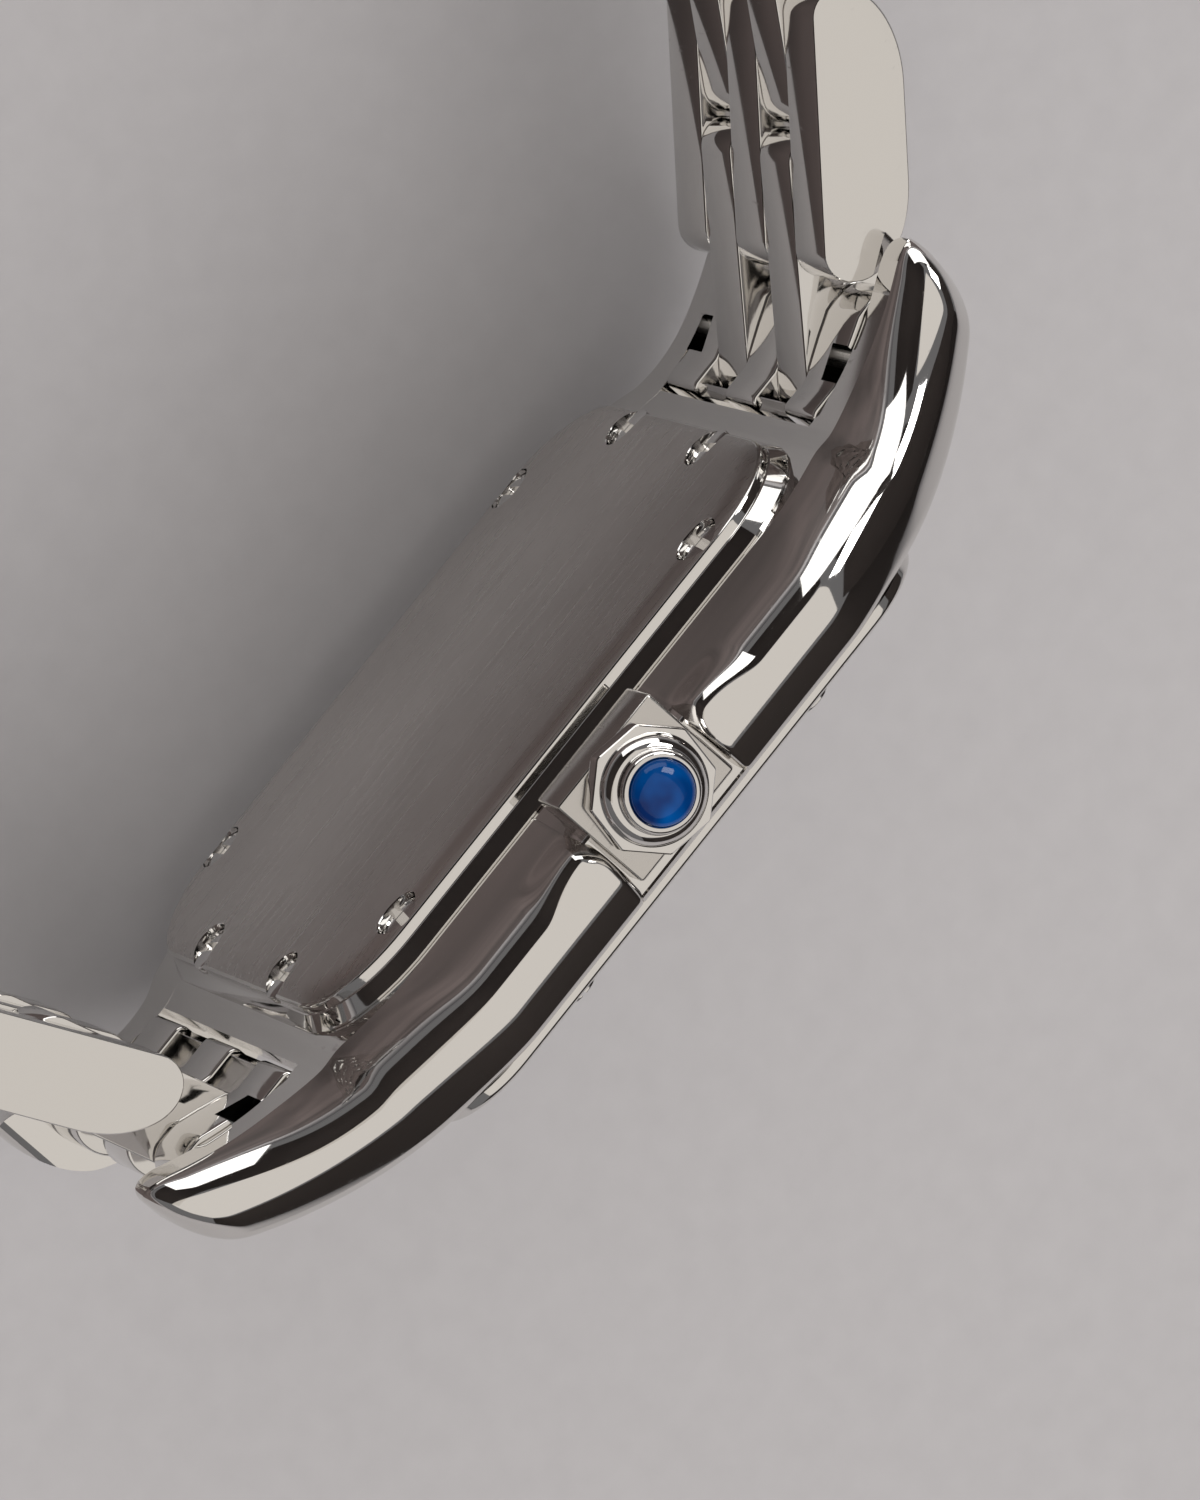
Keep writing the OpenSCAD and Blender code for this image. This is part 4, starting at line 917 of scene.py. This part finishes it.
def link_outline():
    """Outline of a link in X and Y, from its first hinge: round on the wrist side."""
    end = LINK_LEN / 2
    pts = arc(end - WRIST_ROUND, PIN_DEPTH - WRIST_ROUND, WRIST_ROUND, WRIST_ROUND, 0, 90, 10)
    pts += arc(WRIST_ROUND - end, PIN_DEPTH - WRIST_ROUND, WRIST_ROUND, WRIST_ROUND, 90, 180, 10)
    shoulder_y = LINK_OUTER_Y + SHOULDER_H
    pts += arc(SHOULDER_LEN - end, shoulder_y, SHOULDER_LEN, SHOULDER_H, 180, 270, 20)
    pts += arc(end - SHOULDER_LEN, shoulder_y, SHOULDER_LEN, SHOULDER_H, 270, 360, 20)
    return [(x + HINGE_PITCH / 2, y) for x, y in pts]


def inset_loop(loop, amount):
    """Moves each point of a closed outline inwards by the same distance."""
    clean = [p for i, p in enumerate(loop) if math.dist(p, loop[i - 1]) > 1e-7]
    area = sum(p[0] * q[1] - q[0] * p[1] for p, q in zip(clean, clean[1:] + clean[:1]))
    way = 1 if area > 0 else -1
    out = []
    for i, p in enumerate(clean):
        a, b = Vector(clean[i - 1]), Vector(clean[(i + 1) % len(clean)])
        e1, e2 = (Vector(p) - a).normalized(), (b - Vector(p)).normalized()
        n = Vector((-(e1.y + e2.y), e1.x + e2.x)) * way
        n.normalize()
        cos_half = max(0.5, n.dot(Vector((-e1.y, e1.x)) * way))
        out.append((p[0] + n.x * amount / cos_half, p[1] + n.y * amount / cos_half))
    return out


def bar_mesh(name, loop, z_low, z_high, bevel=LINK_BEVEL, steps=3):
    """Outline in X and Y pulled along Z with rounded edges."""
    rings = []
    for i in range(steps + 1):
        a = math.pi / 2 * i / steps
        rings.append((bevel * (1 - math.sin(a)), z_low + bevel * (1 - math.cos(a))))
    rings += [(inset, z_low + z_high - z) for inset, z in reversed(rings)]
    return tube_mesh(name, [[(x, y, z) for x, y in inset_loop(loop, inset)] for inset, z in rings])


def row_span(row):
    """Z range of one of the five rows."""
    middle = (row - 3) * ROW_PITCH
    return middle - LINK_W / 2, middle + LINK_W / 2


def mirror(side):
    """The 12 o'clock side is drawn as the 6 o'clock side and mirrored."""
    return Matrix.Scale(1 if side == "six" else -1, 4, (1, 0, 0))


def strand_matrix(side, k):
    """Place of a link drawn from its first hinge along +X, on the 6 or 12 o'clock strand."""
    at = lambda i: Vector(JOINTS[f"{side}_hinge_{i}"]["pos_m"])
    heading = lambda i: math.atan2(at(i + 1).y - at(i).y, abs(at(i + 1).x) - abs(at(i).x))
    angle = heading(k) if k < 8 else 2 * heading(7) - heading(6)
    p = at(k)
    return mirror(side) @ Matrix.Translation((abs(p.x), p.y, 0)) @ Matrix.Rotation(angle, 4, "Z")


def finish_steel(obj, body, node, key="link_steel", sharp=26):
    """Shading, material, body and node of a steel piece."""
    recalc(obj)
    smooth(obj, sharp)
    dress(obj, key)
    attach(obj, body)
    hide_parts(node)


def bracelet():
    """Seven link sets and an end link on each side."""
    loop = link_outline()
    for side in ("six", "twelve"):
        for k in range(1, 8):
            rows = (1, 3, 5) if k % 2 == 0 else (2, 4)
            obj = join(f"steel_links_{side}_{k}", [bar_mesh("row", loop, *row_span(r)) for r in rows])
            obj.data.transform(strand_matrix(side, k))
            finish_steel(obj, f"{side}_{k}", f"links_{side}_{k}")
        end_link(side)


def end_link(side):
    """Fingers, low beside the case back and high over the hinge, with a bridge under the first link."""
    hinge = Vector(JOINTS[f"{side}_hinge_1"]["pos_m"])
    near, low_len, slope = BODY_HALF + 0.25 * MM - abs(hinge.x), 1.3 * MM, 0.41
    high = RIM_Y - hinge.y
    end, outer, r = LINK_OVER, LINK_OUTER_Y, 0.3 * MM
    top = near + low_len + (PIN_DEPTH - high) / slope
    loop = arc(end - WRIST_ROUND, PIN_DEPTH - WRIST_ROUND, WRIST_ROUND, WRIST_ROUND, 0, 90, 10)
    loop += [(top + 0.25 * MM, PIN_DEPTH), (top, PIN_DEPTH - 0.02 * MM),
             (top - 0.3 * MM, PIN_DEPTH - 0.135 * MM)]
    loop += [(near + low_len + d * MM, high + max(0, d + 0.03) * slope * MM)
             for d in (1.2, 0.6, 0.3, 0.1, -0.1, -0.4)]
    loop += arc(near + r, high - r, r, r, 90, 180, 8)
    loop += arc(near + r, outer + 0.25 * MM + r, r, r, 180, 250, 6)
    loop += arc(end - SHOULDER_LEN, outer + SHOULDER_H, SHOULDER_LEN, SHOULDER_H, 270, 360, 20)
    parts = []
    slot_x, slot_y, deep = near + low_len, -1.36 * MM, 1.3 * MM
    for row in (1, 3, 5):
        low, top_z = row_span(row)
        finger = bar_mesh("finger", loop, low, top_z, 0.11 * MM, 4)
        if row != 3:
            out = (top_z - deep, top_z + MM) if row == 5 else (low - MM, low + deep)
            slot = box_mesh("slot", (slot_x, slot_y, out[0]), (slot_x + 1.1 * MM, slot_y + 4 * MM, out[1]))
            combine(finger, [slot], "DIFFERENCE")
        parts.append(finger)
    back = -(LINK_LEN - HINGE_PITCH) / 2 - 0.12 * MM
    drop = 0.12 * MM
    bridge = [(near + 0.03 * MM, outer + 0.3 * MM), (back, outer + 0.02 * MM), (back, high - drop),
              (near + r, high - drop), (near + 0.03 * MM, high - r - drop)]
    parts.append(bar_mesh("bridge", bridge, -ROWS_W / 2 + 0.05 * MM, ROWS_W / 2 - 0.05 * MM))
    obj = join(f"steel_end_link_{side}", parts)
    obj.data.transform(mirror(side) @ Matrix.Translation((abs(hinge.x), hinge.y, 0)))
    finish_steel(obj, "case", f"end_link_{side}")


def clasp():
    """Box half on the 12 o'clock strand and tongue half on the 6 o'clock strand."""
    over, outer, middle = LINK_OVER, LINK_OUTER_Y, PIN_DEPTH - LINK_T / 2

    def finger_loop(last):
        """Half a link that ends square inside the block."""
        r, mid = WRIST_ROUND, (HINGE_PITCH - LINK_LEN) / 2
        pts = arc(mid + r, PIN_DEPTH - r, r, r, 90, 180, 10)
        pts += arc(mid + SHOULDER_LEN, outer + SHOULDER_H, SHOULDER_LEN, SHOULDER_H, 180, 270, 20)
        return [(last, PIN_DEPTH)] + pts + [(last, outer)]

    def block_loop(to):
        """Block with a rounded far end."""
        r = 1.0 * MM
        pts = [(over + 0.15 * MM, PIN_DEPTH), (over + 0.15 * MM, outer)]
        pts += arc(to - 2.25 * MM, outer + r, 2.2 * MM, r, 270, 360, 14)
        pts += arc(to - 2.25 * MM, PIN_DEPTH - r, 2.2 * MM, r, 0, 90, 14)
        return pts

    for side, node, reach in (("twelve", "clasp_box", BOX_REACH), ("six", "clasp_tongue", TONGUE_ROOT)):
        parts = [bar_mesh("finger", finger_loop(over + 0.4 * MM), *row_span(r)) for r in (1, 3, 5)]
        block = bar_mesh("block", block_loop(reach), -ROWS_W / 2, ROWS_W / 2, 0.15 * MM, 4)
        if side == "twelve":
            cutters = [box_mesh("slot", (reach - BOX_SLOT_DEEP, middle - BOX_SLOT_HALF_T, -BOX_SLOT_HALF_W),
                                (reach + MM, middle + BOX_SLOT_HALF_T, BOX_SLOT_HALF_W))]
            for s in (-1, 1):
                way = [(BUTTON_WAY_R, z) for z in sorted((s * 3.5 * MM, s * 8 * MM))]
                cutters.append(lathe("way", way, 40, "Z", (BUTTON_X, middle, 0)))
            combine(block, cutters, "DIFFERENCE")
        parts.append(block)
        if side == "six":
            half_w, r = TONGUE_HALF_W, 1 * MM
            start, end = TONGUE_ROOT - MM, TONGUE_ROOT + TONGUE_LEN - r
            notch = TONGUE_ROOT + BOX_SLOT_DEEP / 2 + BUTTON_SET
            near, far, deep = notch - NOTCH_HALF, notch + NOTCH_HALF, half_w - NOTCH_DEEP
            outline = [(start, -half_w), (near, -half_w), (near, -deep), (far, -deep), (far, -half_w)]
            outline += arc(end, -half_w + r, r, r, 270, 360, 8)
            outline += arc(end, half_w - r, r, r, 0, 90, 8)
            outline += [(far, half_w), (far, deep), (near, deep), (near, half_w), (start, half_w)]
            tongue = bar_mesh("tongue", outline, -0.5 * MM, 0.5 * MM, 0.06 * MM)
            tongue.data.transform(Matrix.Translation((0, middle, 0)) @ Matrix.Rotation(math.pi / 2, 4, "X"))
            parts.append(tongue)
        obj = join(f"steel_{node}", parts)
        obj.data.transform(strand_matrix(side, 8))
        finish_steel(obj, f"{side}_clasp", node)
    for name, s in (("upper", 1), ("lower", -1)):
        r, side_z, rise = 0.6 * MM, ROWS_W / 2, 0.55 * MM
        profile = [(0.02 * MM, 4.6 * MM), (0.5 * MM, 4.6 * MM), (0.5 * MM, 5.6 * MM), (0.85 * MM, 5.6 * MM),
                   (0.85 * MM, 6.05 * MM), (r, 6.05 * MM), (r, side_z + rise - 0.15 * MM),
                   (r - 0.04 * MM, side_z + rise - 0.06 * MM), (r - 0.12 * MM, side_z + rise),
                   (0.02 * MM, side_z + rise)]
        cap = lathe(f"button_cap_{name}", [(q, s * h) for q, h in profile], 48, "Z", (BUTTON_X, middle, 0))
        cap.data.transform(strand_matrix("twelve", 8))
        finish_steel(cap, f"button_{name}", f"push_button_{name}", "polished_steel")


# Nodes that keep the shape of their solid and only get a material

def dress_nodes():
    """Each node's material, from its slot in the record."""
    slots = {part["node"]: part["material_slot"] for part in frame["record"]["subparts"]}
    for name, obj in NODES.items():
        key = slots[name]
        if key == "glass":
            key = "crystal_glass"
        dress(obj, key)
        for face in obj.data.polygons:
            face.use_smooth = False


# Floor, light and camera

def floor():
    """Pale paper under the lowest point of the watch."""
    low, half = cad_box[0].z, 2.0
    corners = [(-half, -half, low), (half, -half, low), (half, half, low), (-half, half, low)]
    obj = new_object("floor", corners, [(0, 1, 2, 3)])
    mat, tree, shader = principled("floor_paper", (0.47, 0.46, 0.475), 0.0, 0.85)
    fibre = noise(tree, place_coords(tree), 900, 4)
    shade = mix_colour(tree, remap(tree, fibre, 0.3, 0.7, 0, 1), (0.46, 0.45, 0.465), (0.48, 0.47, 0.485))
    tree.links.new(shade, shader.inputs["Base Color"])
    obj.data.materials.append(mat)


def area_light(name, place, target, size, power, colour):
    """Rectangular softbox that faces the target."""
    data = bpy.data.lights.new(name, "AREA")
    data.shape = "RECTANGLE"
    data.size, data.size_y = size
    data.energy = power
    data.color = colour
    obj = bpy.data.objects.new(name, data)
    bpy.context.scene.collection.objects.link(obj)
    obj.location = place
    obj.rotation_euler = (Vector(target) - Vector(place)).to_track_quat("-Z", "Y").to_euler()
    return obj


def dark_card(name, place, target, width, height, material=CARD_BROWN):
    """A dark studio card that only shows in reflections."""
    x, y = width / 2, height / 2
    obj = new_object(name, [(-x, -y, 0), (x, -y, 0), (x, y, 0), (-x, y, 0)], [(0, 1, 2, 3)])
    obj.location = place
    obj.rotation_euler = (Vector(target) - Vector(place)).to_track_quat("-Z", "Y").to_euler()
    obj.data.materials.append(material)
    obj.visible_camera = False
    obj.visible_diffuse = False
    obj.visible_shadow = False


def lights():
    """A warm softbox overhead, a strip beyond the case back, a fill, a small window and dark cards."""
    aim = (0, 0, 0.01)
    panel = area_light("panel_top", (-0.13, -0.07, 0.26), (-0.13, -0.07, 0), (0.58, 0.56), 0.63,
                       (1.0, 0.94, 0.86))
    strip = area_light("strip_back", (0.20, 0.22, 0.08), aim, (0.32, 0.16), 0.29, (1.0, 0.99, 0.97))
    fill = area_light("fill_top", (-0.10, -0.16, 0.45), (0, 0, 0), (0.40, 0.40), 1.5, (1.0, 0.98, 0.96))
    fill.visible_glossy = False
    window = area_light("window_small", (0.225, 0.055, 0.19), aim, (0.13, 0.10), 0.29, (1.0, 0.99, 0.98))
    window.visible_diffuse = False
    for lamp in (panel, strip, fill, window):
        lamp.visible_camera = False
    dark_card("card_front", (0, -0.42, 0.12), aim, 0.90, 0.26)
    dark_card("card_back", (-0.09, 0.33, 0.20), aim, 0.66, 0.32)
    dark_card("card_six", (0.32, -0.04, 0.15), aim, 0.60, 0.24)
    # This one lies on the floor beside the case back, where the photograph has dark cloth
    near_y, depth = 6.7 * MM, 0.20
    middle = Vector((0, near_y + depth / 2, cad_box[0].z + 0.5 * MM))
    dark_card("card_low", middle, middle + Vector((0, 0, 1)), 0.34, depth, CARD_PLUM)
    world = bpy.data.worlds.new("studio")
    bpy.context.scene.world = world
    world.use_nodes = True
    back = world.node_tree.nodes["Background"]
    back.inputs["Color"].default_value = (0.55, 0.54, 0.55, 1)
    back.inputs["Strength"].default_value = 0.3


def camera():
    """Camera at the photograph's viewing angle, solved on the case back, horns and links."""
    place = Vector((-50.71, 125.75, 394.60)) * MM
    right = Vector((0.6200, -0.7166, 0.3195))
    forward = Vector((0.1251, -0.3116, -0.9419))
    up = right.cross(forward).normalized()
    right = forward.cross(up).normalized()
    data = bpy.data.cameras.new("camera")
    data.sensor_width = 36
    data.lens = 327.5
    data.clip_start = 0.01
    obj = bpy.data.objects.new("camera", data)
    bpy.context.scene.collection.objects.link(obj)
    obj.matrix_world = Matrix.Translation(place) @ Matrix((right, up, -forward)).transposed().to_4x4()
    bpy.context.scene.camera = obj


dress_nodes()
case_middle()
crown()
case_back()
bezel()
crystal()
dial_marks()
hands()
bracelet()
clasp()
floor()
lights()
camera()
bpy.context.scene.view_settings.view_transform = "Standard"
